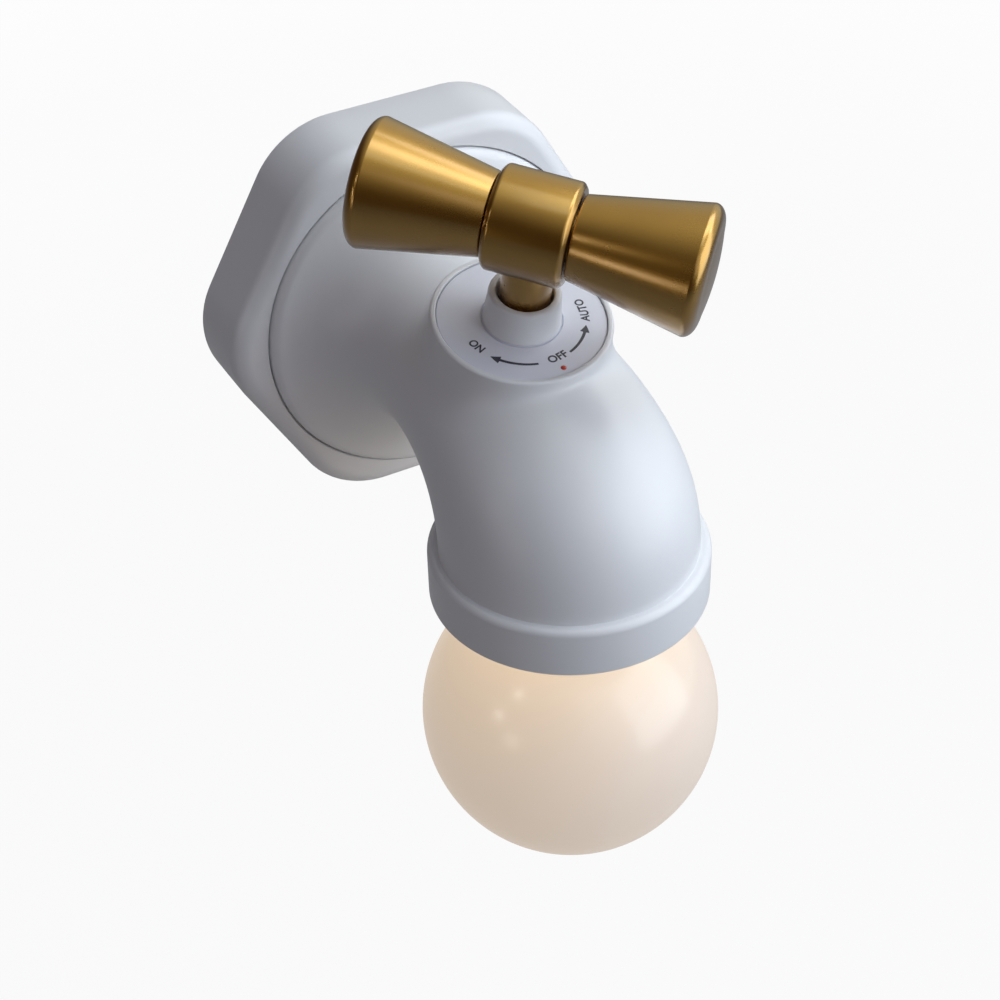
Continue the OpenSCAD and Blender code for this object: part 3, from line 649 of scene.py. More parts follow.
@dataclass(frozen=True)
class GlowingFinish(Finish):
    """A milky finish that glows, warmest below the collar.

    Attributes:
        low: Height in millimetres below which the glow has faded.
        high: Height at which it is strongest.
        warm: Colour of the glow at the top.
        cool: Colour of the glow at the bottom.
        glow: Strength of the glow.
        falloff: How fast the glow fades.
    """

    low: float = -90.0
    high: float = -32.0
    warm: Colour = (1.0, 0.6, 0.3)
    cool: Colour = (0.4, 0.3, 0.2)
    glow: float = 0.5
    falloff: float = 2.0

    def connect(self, graph: Graph, shader: Node) -> None:
        """Feeds the shader its colour, roughness and bump, and its glow.

        Args:
            graph: Graph of the material.
            shader: The principled shader.
        """
        super().connect(graph, shader)
        band = graph.add("ShaderNodeGroup", node_tree=shelf.get(Effect.BAND))
        values = {"Low": self.low * MM, "High": self.high * MM, "Power": self.falloff,
                  "Low Colour": (*self.cool, 1), "High Colour": (*self.warm, 1)}
        for label, value in values.items():
            graph.feed(band.inputs[label], value)
        graph.feed(shader.inputs["Emission Color"], band.outputs["Colour"])
        graph.feed(shader.inputs["Emission Strength"], self.glow)


WHITE_PLASTIC = Finish(
    "white_satin_plastic", (0.81, 0.822, 0.84), (0.778, 0.79, 0.81), drift=0.5, drift_scale=28,
    gloss=0.36, gloss_spread=0.16, grain_scale=2600, grain_height=5)
COVER_PLASTIC = Finish(
    "white_matte_plastic", (0.74, 0.755, 0.79), (0.68, 0.70, 0.74), gloss=0.55, gloss_spread=0.2,
    grain_scale=1500, grain_height=16)
DIAL_PLASTIC = Finish(
    "dial_film", (0.82, 0.838, 0.915), (0.78, 0.797, 0.87), drift_scale=80, gloss=0.42,
    gloss_spread=0.12, grain_scale=2400, grain_height=4)
DIAL_INK = Finish(
    "dial_ink", (0.035, 0.035, 0.055), (0.07, 0.07, 0.10), drift=0.7, drift_scale=900, gloss=0.5,
    gloss_spread=0.2, grain_height=3)
RED_LENS = Finish(
    "red_lens", (0.62, 0.05, 0.03), (0.45, 0.03, 0.02), drift_scale=700, gloss=0.22,
    grain_height=2, coat=0.5)
ANTIQUE_GOLD = Finish(
    "satin_antique_gold", (0.352, 0.185, 0.014), (0.304, 0.155, 0.011), drift=0.6,
    drift_scale=120, gloss=0.28, gloss_spread=0.06, metallic=1.0, grain_scale=1800,
    grain_stretch=(0.25, 1.0, 1.0), grain_turn=(0, 0, 44.5), grain_height=0.8, coat=1.0,
    coat_gloss=0.2, coat_ior=1.65)
PLATED_STEEL = Finish(
    "zinc_plated_steel", (0.56, 0.57, 0.58), (0.47, 0.48, 0.50), drift_scale=150, gloss=0.34,
    gloss_spread=0.25, metallic=1.0, grain_scale=900, grain_stretch=(1.0, 1.0, 0.2),
    grain_height=10)
NICKEL = Finish(
    "nickel_plate", (0.60, 0.58, 0.55), (0.52, 0.50, 0.48), drift_scale=200, gloss=0.2,
    metallic=1.0, grain_height=4)
CAST_ALUMINIUM = Finish(
    "rough_cast_aluminium", (0.62, 0.63, 0.65), (0.52, 0.53, 0.55), drift_scale=180, gloss=0.45,
    metallic=1.0, grain_scale=700, grain_height=18)
BLACK_PLASTIC = Finish(
    "matte_black_plastic", (0.025, 0.025, 0.03), (0.04, 0.04, 0.045), gloss=0.5, grain_height=12)
FOAM = Finish(
    "closed_cell_foam", (0.035, 0.035, 0.04), (0.07, 0.07, 0.075), drift=0.9, drift_scale=1500,
    gloss=0.85, grain_scale=1800, grain_height=70)
WHITE_RUBBER = Finish(
    "soft_white_rubber", (0.66, 0.66, 0.64), (0.58, 0.58, 0.56), gloss=0.6, grain_height=14)
CELL_FOIL = Finish(
    "silver_cell_foil", (0.58, 0.60, 0.63), (0.48, 0.50, 0.54), drift_scale=220, gloss=0.3,
    metallic=1.0, grain_scale=500, grain_height=30)
GREEN_BOARD = Finish(
    "green_solder_mask", (0.012, 0.11, 0.045), (0.02, 0.16, 0.07), drift=0.8, drift_scale=420,
    gloss=0.28, grain_height=8, coat=0.3)
WHITE_BOARD = Finish(
    "white_solder_mask", (0.75, 0.77, 0.79), (0.68, 0.70, 0.72), gloss=0.3, grain_height=6)
WIRE_JACKET = Finish(
    "red_wire_jacket", (0.24, 0.02, 0.018), (0.18, 0.015, 0.015), gloss=0.45, grain_height=6)
PHOSPHOR = GlowingFinish(
    "glowing_phosphor", (0.80, 0.55, 0.12), (0.70, 0.45, 0.08), drift_scale=900, gloss=0.5,
    warm=(1.0, 0.72, 0.38), cool=(1.0, 0.72, 0.38), glow=1.5)
MILKY_GLOBE = GlowingFinish(
    "milky_globe", (0.36, 0.365, 0.39), (0.335, 0.34, 0.362), drift=0.6, drift_scale=34,
    gloss=0.24, gloss_spread=0.06, grain_scale=1800, grain_height=2, coat=0.08, low=-80.0,
    high=-31.0, warm=(0.80, 0.59, 0.37), cool=(0.475, 0.382, 0.288), glow=1.0, falloff=2.6)

NODE_FINISHES: dict[str, Finish] = {
    "adhesive_pad": FOAM, "wall_plate": PLATED_STEEL, "magnets": NICKEL,
    "back_cover": COVER_PLASTIC, "cover_screws": PLATED_STEEL, "base_housing": WHITE_PLASTIC,
    "battery_cell": CELL_FOIL, "battery_pad": FOAM, "control_board": GREEN_BOARD,
    "board_screws": PLATED_STEEL, "usb_socket": NICKEL, "microphone": NICKEL,
    "elbow_screws": PLATED_STEEL, "elbow_body": WHITE_PLASTIC, "dial_plate": DIAL_PLASTIC,
    "status_light": RED_LENS, "stem_bonnet": WHITE_PLASTIC, "bonnet_nut": NICKEL,
    "valve_stem": ANTIQUE_GOLD, "stem_clip": PLATED_STEEL, "handle_hub": ANTIQUE_GOLD,
    "left_knob": ANTIQUE_GOLD, "right_knob": ANTIQUE_GOLD, "cross_rod": PLATED_STEEL,
    "switch_rotor": BLACK_PLASTIC, "rotary_switch": BLACK_PLASTIC, "switch_bracket": PLATED_STEEL,
    "bracket_screws": PLATED_STEEL, "lamp_collar": WHITE_PLASTIC, "led_carrier": CAST_ALUMINIUM,
    "led_board": WHITE_BOARD, "led_chips": PHOSPHOR, "led_screws": PLATED_STEEL,
    "globe": MILKY_GLOBE, "globe_gasket": WHITE_RUBBER, "battery_leads": WIRE_JACKET,
    "switch_leads": WIRE_JACKET, "lamp_leads": WIRE_JACKET}


# Sub-assemblies


class Assembly:
    """A sub-assembly, whose pieces ride on its body."""

    body = Body.LAMP

    def place(self, piece: Piece, finish: Finish, slot: Slot, *nodes: str) -> None:
        """Dresses a piece, lets it ride on the assembly's body and hides the construction nodes
        that it stands for.

        Args:
            piece: The piece.
            finish: Its finish.
            slot: The record's material slot; it is not used.
            nodes: The construction nodes that it stands for.
        """
        finish.dress(piece)
        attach(piece, self.body.value)
        if nodes:
            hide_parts(*nodes)
        log.info("%s: %d faces", piece.name, len(piece.data.polygons))


@dataclass
class HexBase(Assembly):
    """The hexagonal base housing with its rounded front edge and the recess of the elbow's foot."""

    apothem: float = 40.0
    depth: float = 17.5
    corner_r: float = 19.0
    round_r: float = 3.6
    round_steps: int = 14
    wall: float = 2.2
    draft: float = 0.2
    recess_r: float = 35.9
    recess_lip: tuple[tuple[float, float], ...] = ((0.0, 0.3), (0.06, 0.1), (0.2, 0.0))
    seat_y: float = 16.0
    rim_y: float = 0.4
    rim_lip: tuple[tuple[float, float], ...] = ((0.05, 0.5), (0.15, 0.12), (0.45, 0.0))
    bevel: float = 0.2
    sides: int = 288
    usb_centre_y: float = 9.8
    usb_half_w: float = 4.8
    usb_half_t: float = 1.95
    usb_bevel: float = 0.55
    usb_bevel_depth: float = 0.5
    usb_sides: int = 48
    mic_x: float = 10.0
    mic_y: float = 9.0
    mic_r: float = 0.6
    mic_bevel: float = 0.3
    mic_sides: int = 32
    cut_past: float = 1.0
    cut_skin: float = 0.01

    def hex_ring(self, inset: float, y: float) -> list[Vector]:
        """Gives the hexagonal outline with its round corners.

        Args:
            inset: How far it is drawn in.
            y: Its distance from the wall.

        Returns:
            The points of the outline.
        """
        half_side = math.pi / 6
        flat, r = self.apothem - inset, self.corner_r - inset
        away = (flat - r) / math.cos(half_side)
        touch = math.atan2(r / 2, away + r * math.cos(half_side))
        ring = []
        for i in range(self.sides):
            angle = math.tau * i / self.sides
            off = abs((angle + half_side) % (2 * half_side) - half_side)
            if off < touch:
                reach = away * math.cos(off) + math.sqrt(r * r - (away * math.sin(off)) ** 2)
            else:
                reach = flat / math.cos(half_side - off)
            ring.append(Vector((reach * math.cos(angle), -y, reach * math.sin(angle))))
        return ring

    def round_ring(self, r: float, y: float) -> list[Vector]:
        """Gives a round outline of radius r at a distance from the wall."""
        turns = (math.tau * i / self.sides for i in range(self.sides))
        return [Vector((r * math.cos(a), -y, r * math.sin(a))) for a in turns]

    def build(self) -> None:
        """Builds the housing, from its recess over the front edge to its back, and its openings."""
        edge_y = self.depth - self.round_r
        front = self.draft + self.round_r
        inside_y = self.seat_y - self.wall
        seat_bevel = 0.75 * self.bevel
        rings = [[Vector((0, -self.seat_y, 0))],
                 self.round_ring(self.recess_r - self.bevel, self.seat_y),
                 self.round_ring(self.recess_r, self.seat_y + seat_bevel)]
        rings += [self.round_ring(self.recess_r + out, self.depth - deep)
                  for out, deep in self.recess_lip]
        for k in range(self.round_steps + 1):
            a = math.radians(90 - 90 * k / self.round_steps)
            inset, y = front - self.round_r * math.cos(a), edge_y + self.round_r * math.sin(a)
            rings.append(self.hex_ring(inset, y))
        rings.append(self.hex_ring(self.draft / 2, edge_y / 2))
        rings += [self.hex_ring(inset, self.rim_y + off) for inset, off in self.rim_lip]
        rings += [self.hex_ring(self.wall - self.bevel, self.rim_y),
                  self.hex_ring(self.wall, self.rim_y + self.bevel),
                  self.hex_ring(self.wall, inside_y), [Vector((0, -inside_y, 0))]]
        housing = make_piece("housing_shell", *loft(rings))
        cut_away(housing, [self.slot_cutter(), self.port_cutter()])
        self.place(housing, WHITE_PLASTIC, Slot.WHITE, "base_housing")

    def slot_cutter(self) -> Piece:
        """Gives the slot of the charging socket, with a bevelled mouth.

        Returns:
            The piece that cuts it.
        """
        reach, face, bevel = self.usb_half_w - self.usb_half_t, -self.apothem, self.usb_bevel
        turns = [math.tau * (i + 0.5) / self.usb_sides for i in range(self.usb_sides)]
        rings = []
        for grow, z in ((bevel, face - self.cut_past), (bevel, face - self.cut_skin),
                        (0.0, face + self.usb_bevel_depth),
                        (0.0, face + self.wall + self.cut_past)):
            r = self.usb_half_t + grow
            rings.append([(math.copysign(reach, math.cos(a)) + r * math.cos(a),
                           r * math.sin(a) - self.usb_centre_y, z) for a in turns])
        return make_piece("slot_cutter", *capped(rings))

    def port_cutter(self) -> Piece:
        """Gives the small hole of the microphone, with a bevelled mouth.

        Returns:
            The piece that cuts it.
        """
        face, mouth_r = -self.apothem, self.mic_r + self.mic_bevel
        outside, inside = face - self.cut_past, face + self.wall + self.cut_past
        profile = [(0, outside), (mouth_r, outside), (mouth_r, face - self.cut_skin),
                   (self.mic_r, face + self.mic_bevel), (self.mic_r, inside), (0, inside)]
        place = Matrix.Translation((self.mic_x, -self.mic_y, 0))
        return lathe("port_cutter", profile, place, sides=self.mic_sides)


class TubeSkin:
    """One skin of the elbow's tube: its sections, and the rings of points that lie on them."""

    def __init__(self, sections: list[Section], columns: int, mesh: Skin) -> None:
        """Lays a ring of points on each section and stores them in the mesh."""
        self.sections = sections
        self.starts = [mesh.store(self.ring(section, columns)) for section in sections]

    @staticmethod
    def on_section(section: Section, u: float) -> Vector:
        """Gives a point of a section.

        Args:
            section: The section.
            u: Angle round it in radians, a quarter turn at its top.

        Returns:
            The point.
        """
        top, bottom, half = section
        p = (top + bottom) / 2 + (top - bottom) / 2 * math.sin(u)
        return Vector((half * math.cos(u), -p.x, p.y))

    @classmethod
    def ring(cls, section: Section, columns: int) -> list[Vector]:
        """Gives the ring of points on a section."""
        return [cls.on_section(section, math.tau * i / columns) for i in range(columns)]

    def at(self, row: float, u: float) -> Vector:
        """Gives a point of the skin.

        Args:
            row: Its row, which may lie between two sections.
            u: Angle round the section in radians.

        Returns:
            The point.
        """
        k = min(int(row), len(self.sections) - 2)
        here, there = (self.on_section(section, u) for section in self.sections[k:k + 2])
        return here.lerp(there, row - k)

    def walk(self, start: tuple[float, float], end: tuple[float, float],
             steps: int) -> list[Vector]:
        """Gives points on the way from one place of the skin to another.

        Args:
            start: Row and angle of the first point.
            end: Row and angle of the place it goes toward, which is left out.
            steps: How many points.

        Returns:
            The points.
        """
        (row, u), (end_row, end_u) = start, end
        return [self.at(row + (end_row - row) * k / steps, u + (end_u - u) * k / steps)
                for k in range(steps)]

    def find(self, x: float, out: float, rows: tuple[int, int]) -> tuple[float, float]:
        """Finds the row and angle of the skin's point above a place.

        Args:
            x: Place across the tube.
            out: Distance from the wall.
            rows: First and last row to look at.

        Returns:
            The row and the angle.
        """
        halvings, u = 30, 0.0
        low, high = rows
        for _ in range(halvings):
            row = (low + high) / 2
            k = min(int(row), len(self.sections) - 2)
            half = self.sections[k][2] + (self.sections[k + 1][2] - self.sections[k][2]) * (row - k)
            u = math.acos(max(-1.0, min(1.0, x / half)))
            if -self.at(row, u).y < out:
                low = row
            else:
                high = row
        return (low + high) / 2, u


@dataclass(frozen=True)
class Block:
    """The part of the outer grid that the boss takes the place of.

    Attributes:
        rows: Its first and its last row.
        middle: The row below the middle of the boss.
    """

    rows: tuple[int, int]
    middle: float


@dataclass
class Elbow(Assembly):
    """The seamless elbow with its flared foot, the blended boss of the dial and the mouth."""

    seat_y: float = 16.0
    foot_r: float = 35.6
    foot_lip: float = 1.0
    foot_roll: float = 2.2
    roll_sweep: float = 75.0
    roll_steps: int = 8
    flare_end_y: float = 35.0
    flare_pull: tuple[float, float] = (1.2, 5.5)
    flare_settle: tuple[float, float] = (5.5, 1.0)
    flare_steps: int = 26
    tube_half_w: float = 21.0
    tube_top: float = 18.3
    tube_bottom: float = 18.5
    back_pull: tuple[float, float] = (10.0, 1.6)
    throat_pull: tuple[float, float] = (5.0, 0.4)
    throat_drop: float = 0.2
    bend_steps: int = 84
    smooth_passes: int = 10
    wall: float = 2.2
    mouth_y: float = 74.0
    mouth_z: float = 21.2
    mouth_r: float = 25.2
    mouth_edge: tuple[float, float] = (0.12, 0.35)
    spigot_r: float = 24.2
    spigot_h: float = 5.0
    dial_y: float = 56.7
    dial_z: float = 19.6
    tilt: float = 13.4
    dial_r: float = 16.0
    dial_t: float = 0.8
    dial_gap: float = 0.15
    boss_r: float = 17.3
    boss_low: float = 0.9
    boss_rise: float = 0.4
    boss_round: float = 0.95
    boss_edge: float = 0.2
    boss_flare: float = 4.2
    boss_flare_wide: float = 0.15
    boss_shift: float = 1.2
    boss_pull: float = 0.72
    boss_steps: int = 14
    sleeve_hole_r: float = 6.35
    nut_seat: float = 4.6
    nut_room_r: float = 9.4
    columns: int = 128
    block_columns: tuple[int, int] = (2, 62)
    block_reach: tuple[float, float] = (30.5, 85.0)
    grid_steps: int = 6
    crease: float = 40.0

    def dial_frame(self) -> Matrix:
        """Gives the frame of the dial, whose face is Z = 0 and whose stem is +Z."""
        tilt = Matrix.Rotation(math.radians(self.tilt), 4, "X")
        return Matrix.Translation((0, -self.dial_y, self.dial_z)) @ tilt

    def foot_rings(self, inset: float) -> Profile:
        """Lists the rings of the foot, up its lip and over its rolled edge.

        Args:
            inset: How far the skin lies inside the outer one.

        Returns:
            Each ring as (distance from the wall, radius).
        """
        r, roll_y = self.foot_r - inset, self.seat_y + self.foot_lip
        rings: Profile = [(self.seat_y, r)]
        for k in range(self.roll_steps + 1):
            a, roll = math.radians(self.roll_sweep * k / self.roll_steps), self.foot_roll
            rings.append((roll_y + roll * math.sin(a), r - roll * (1 - math.cos(a))))
        return rings

    def flare_sections(self, start: tuple[float, float], inset: float) -> list[Section]:
        """Lists the sections of the flare, from the foot's edge to the even tube.

        Args:
            start: Last ring of the foot.
            inset: How far the skin lies inside the outer one.

        Returns:
            The sections.
        """
        y, r = start
        sections = []
        for k in range(1, self.flare_steps + 1):
            top, bottom, side = (
                cubic(start, (y + self.flare_pull[0], r - self.flare_pull[1]),
                      (y + self.flare_settle[0], end - inset + self.flare_settle[1]),
                      (self.flare_end_y, end - inset), k / self.flare_steps)
                for end in (self.tube_top, self.tube_bottom, self.tube_half_w))
            sections.append((top, Vector((bottom.x, -bottom.y)), side.y))
        return sections

    def bend_sections(self, inset: float) -> list[Section]:
        """Lists the sections of the bend, from the flare to the mouth.

        Args:
            inset: How far the skin lies inside the outer one.

        Returns:
            The sections.
        """
        far, near = self.mouth_y + self.mouth_r, self.mouth_y - self.mouth_r
        back = ((self.flare_end_y, self.tube_top),
                (self.mouth_y - self.back_pull[0], self.tube_top + self.back_pull[1]),
                (far, self.mouth_z / 2), (far, -self.mouth_z))
        throat = ((self.flare_end_y, -self.tube_bottom),
                  (near - self.throat_pull[0], -self.tube_bottom + self.throat_pull[1]),
                  (near, -self.tube_bottom - self.throat_drop), (near, -self.mouth_z))
        sections = []
        for k in range(1, self.bend_steps + 1):
            t = k / self.bend_steps
            top, bottom = cubic(*back, t), cubic(*throat, t)
            across = (top - bottom).normalized()
            blend = t * t * (3 - 2 * t)
            half = self.tube_half_w + (self.mouth_r - self.tube_half_w) * blend - inset
            sections.append((top - inset * across, bottom + inset * across, half))
        return sections

    def outline(self, inset: float) -> list[Section]:
        """Lists the tube's sections from the foot to the mouth, evened out where the bend begins.

        Args:
            inset: How far the skin lies inside the outer one.

        Returns:
            Each section as (top point, bottom point, half width). Its points are (distance from the
            wall, height).
        """
        rings = self.foot_rings(inset)
        sections = [(Vector((y, r)), Vector((y, -r)), r) for y, r in rings]
        sections += self.flare_sections(rings[-1], inset) + self.bend_sections(inset)
        foot = len(rings) - 1
        first, last = foot + self.flare_steps // 2, foot + self.flare_steps + self.bend_steps // 4
        for _ in range(self.smooth_passes):
            kept = list(sections)
            for k in range(first, last):
                trio = zip(kept[k - 1], kept[k], kept[k + 1])
                sections[k] = tuple((a + 2 * b + c) / 4 for a, b, c in trio)
        return sections

    def build(self) -> None:
        """Builds the elbow as one closed skin, inside and outside."""
        mesh = Skin()
        outer, inner = (TubeSkin(self.outline(inset), self.columns, mesh)
                        for inset in (0.0, self.wall))
        tops = [top.x for top, _, _ in outer.sections]
        first, last = (next(k for k, top in enumerate(tops) if top > y)
                       for y in self.block_reach)
        block = Block((first, last), outer.find(0.0, self.dial_y, (first, last))[0])
        for starts in (outer.starts, inner.starts):
            for k in range(len(starts) - 1):
                hole = range(*self.block_columns) if first <= k < last else range(0)
                mesh.join(starts[k], starts[k + 1], self.columns, hole)
        mesh.join(outer.starts[0], inner.starts[0], self.columns)
        previous = outer.starts[-1]
        for r, z in self.mouth_profile():
            section = (Vector((self.mouth_y + r, z)), Vector((self.mouth_y - r, z)), r)
            ring = mesh.store(TubeSkin.ring(section, self.columns))
            mesh.join(previous, ring, self.columns)
            previous = ring
        mesh.join(previous, inner.starts[-1], self.columns)
        self.build_boss(mesh, outer, inner, block)
        elbow = make_piece("elbow_shell", mesh.points, mesh.faces, crease=self.crease)
        self.place(elbow, WHITE_PLASTIC, Slot.WHITE, "elbow_body")

    def mouth_profile(self) -> Profile:
        """Gives the profile from the mouth's outer edge round the spigot to the inner skin.

        Returns:
            The profile.
        """
        z, low, bore = -self.mouth_z, -self.mouth_z - self.spigot_h, self.spigot_r - self.wall
        edge, shoulder = self.mouth_edge
        bevel, lap, sliver = 0.3, 0.5, 0.001
        return [(self.mouth_r - edge, z), (self.mouth_r - shoulder, z - sliver),
                (self.spigot_r, z - 2 * sliver), (self.spigot_r, low + bevel),
                (self.spigot_r - bevel, low), (bore, low), (bore, z + lap)]

    def boss_profile(self) -> Profile:
        """Gives the boss's profile: side, rim, the dial's seat, the sleeve's hole, the nut's room.

        Returns:
            The profile.
        """
        seat_r, arc_step = self.dial_r + self.dial_gap, 12
        rim = rounded([(self.boss_r, -self.boss_low, 0),
                       (self.boss_r, self.boss_rise, self.boss_round),
                       (seat_r, self.boss_rise, self.boss_edge), (seat_r, -self.dial_t, 0)],
                      step=arc_step)
        return rim + [(self.sleeve_hole_r, -self.dial_t), (self.sleeve_hole_r, -self.nut_seat),
                      (self.nut_room_r, -self.nut_seat)]

    def block_loop(self, block: Block) -> list[tuple[int, int]]:
        """Lists the grid points round the block, in order.

        Args:
            block: The block.

        Returns:
            The row and the column of each.
        """
        (r0, r1), (c0, c1) = block.rows, self.block_columns
        loop = [(r0, c) for c in range(c0, c1)] + [(r, c1) for r in range(r0, r1)]
        return loop + [(r1, c) for c in range(c1, c0, -1)] + [(r, c0) for r in range(r1, r0, -1)]

    def boss_line(self, outer: TubeSkin, inner: TubeSkin, block: Block, row: int,
                  column: int) -> list[Vector]:
        """Runs a line from the block's edge over the boss's rim and down to the inner skin.

        Args:
            outer: The outer skin.
            inner: The inner skin.
            block: The block.
            row: Row of the grid point that it starts from.
            column: Column of that point.

        Returns:
            The points of the line.
        """
        place, quarter, probe, least_drop = self.dial_frame(), math.pi / 2, 0.93, 0.15
        u = math.tau * column / self.columns
        edge_u = quarter - math.tau * self.block_columns[0] / self.columns
        edge_row = abs(block.rows[0 if row < block.middle else 1] - block.middle)
        a = math.atan2((block.middle - row) / edge_row, (quarter - u) / edge_u)
        wide = self.boss_flare_wide * abs(math.sin(a))
        reach = self.boss_r + self.boss_flare * (1 - self.boss_flare_wide + wide)
        x, out = reach * math.cos(a), self.dial_y - (reach + self.boss_shift) * math.sin(a)
        foot_spot = outer.find(x, out, block.rows)
        foot = outer.at(*foot_spot)
        near_out = self.dial_y + (out - self.dial_y) * probe
        near = outer.at(*outer.find(x * probe, near_out, block.rows))
        start = place @ Vector(around(self.boss_r, a, -self.boss_low))
        down = place.to_3x3() @ Vector((0, 0, -1))
        drop = max(least_drop, (foot - start).dot(down))
        run = (foot - start - drop * down).length
        inward = (near - foot).normalized()
        pulls = foot + self.boss_pull * run * inward, start + self.boss_pull * drop * down
        path = outer.walk((row, u), foot_spot, self.grid_steps)[1:]
        path += [cubic(foot, *pulls, start, k / self.boss_steps) for k in range(self.boss_steps)]
        path += [place @ Vector(around(r, a, z)) for r, z in self.boss_profile()]
        x, out = self.nut_room_r * math.cos(a), self.dial_y - self.nut_room_r * math.sin(a)
        return path + inner.walk(inner.find(x, out, block.rows), (row, u), self.grid_steps)

    def build_boss(self, mesh: Skin, outer: TubeSkin, inner: TubeSkin, block: Block) -> None:
        """Joins the lines of the boss with each other and with the two skins.

        Args:
            mesh: The skin that points and faces are stored in.
            outer: The outer skin.
            inner: The inner skin.
            block: The block.
        """
        loop = self.block_loop(block)
        lines = [self.boss_line(outer, inner, block, *spot) for spot in loop]
        starts = [mesh.store(line) for line in lines]
        for i, (here, there) in enumerate(zip(loop, loop[1:] + loop[:1])):
            a, b, last = starts[i], starts[(i + 1) % len(loop)], len(lines[i]) - 1
            outer_a, outer_b = (outer.starts[row] + column for row, column in (here, there))
            inner_a, inner_b = (inner.starts[row] + column for row, column in (here, there))
            mesh.faces.append((outer_a, a, b, outer_b))
            mesh.faces.extend((a + k, a + k + 1, b + k + 1, b + k) for k in range(last))
            mesh.faces.append((a + last, inner_a, inner_b, b + last))


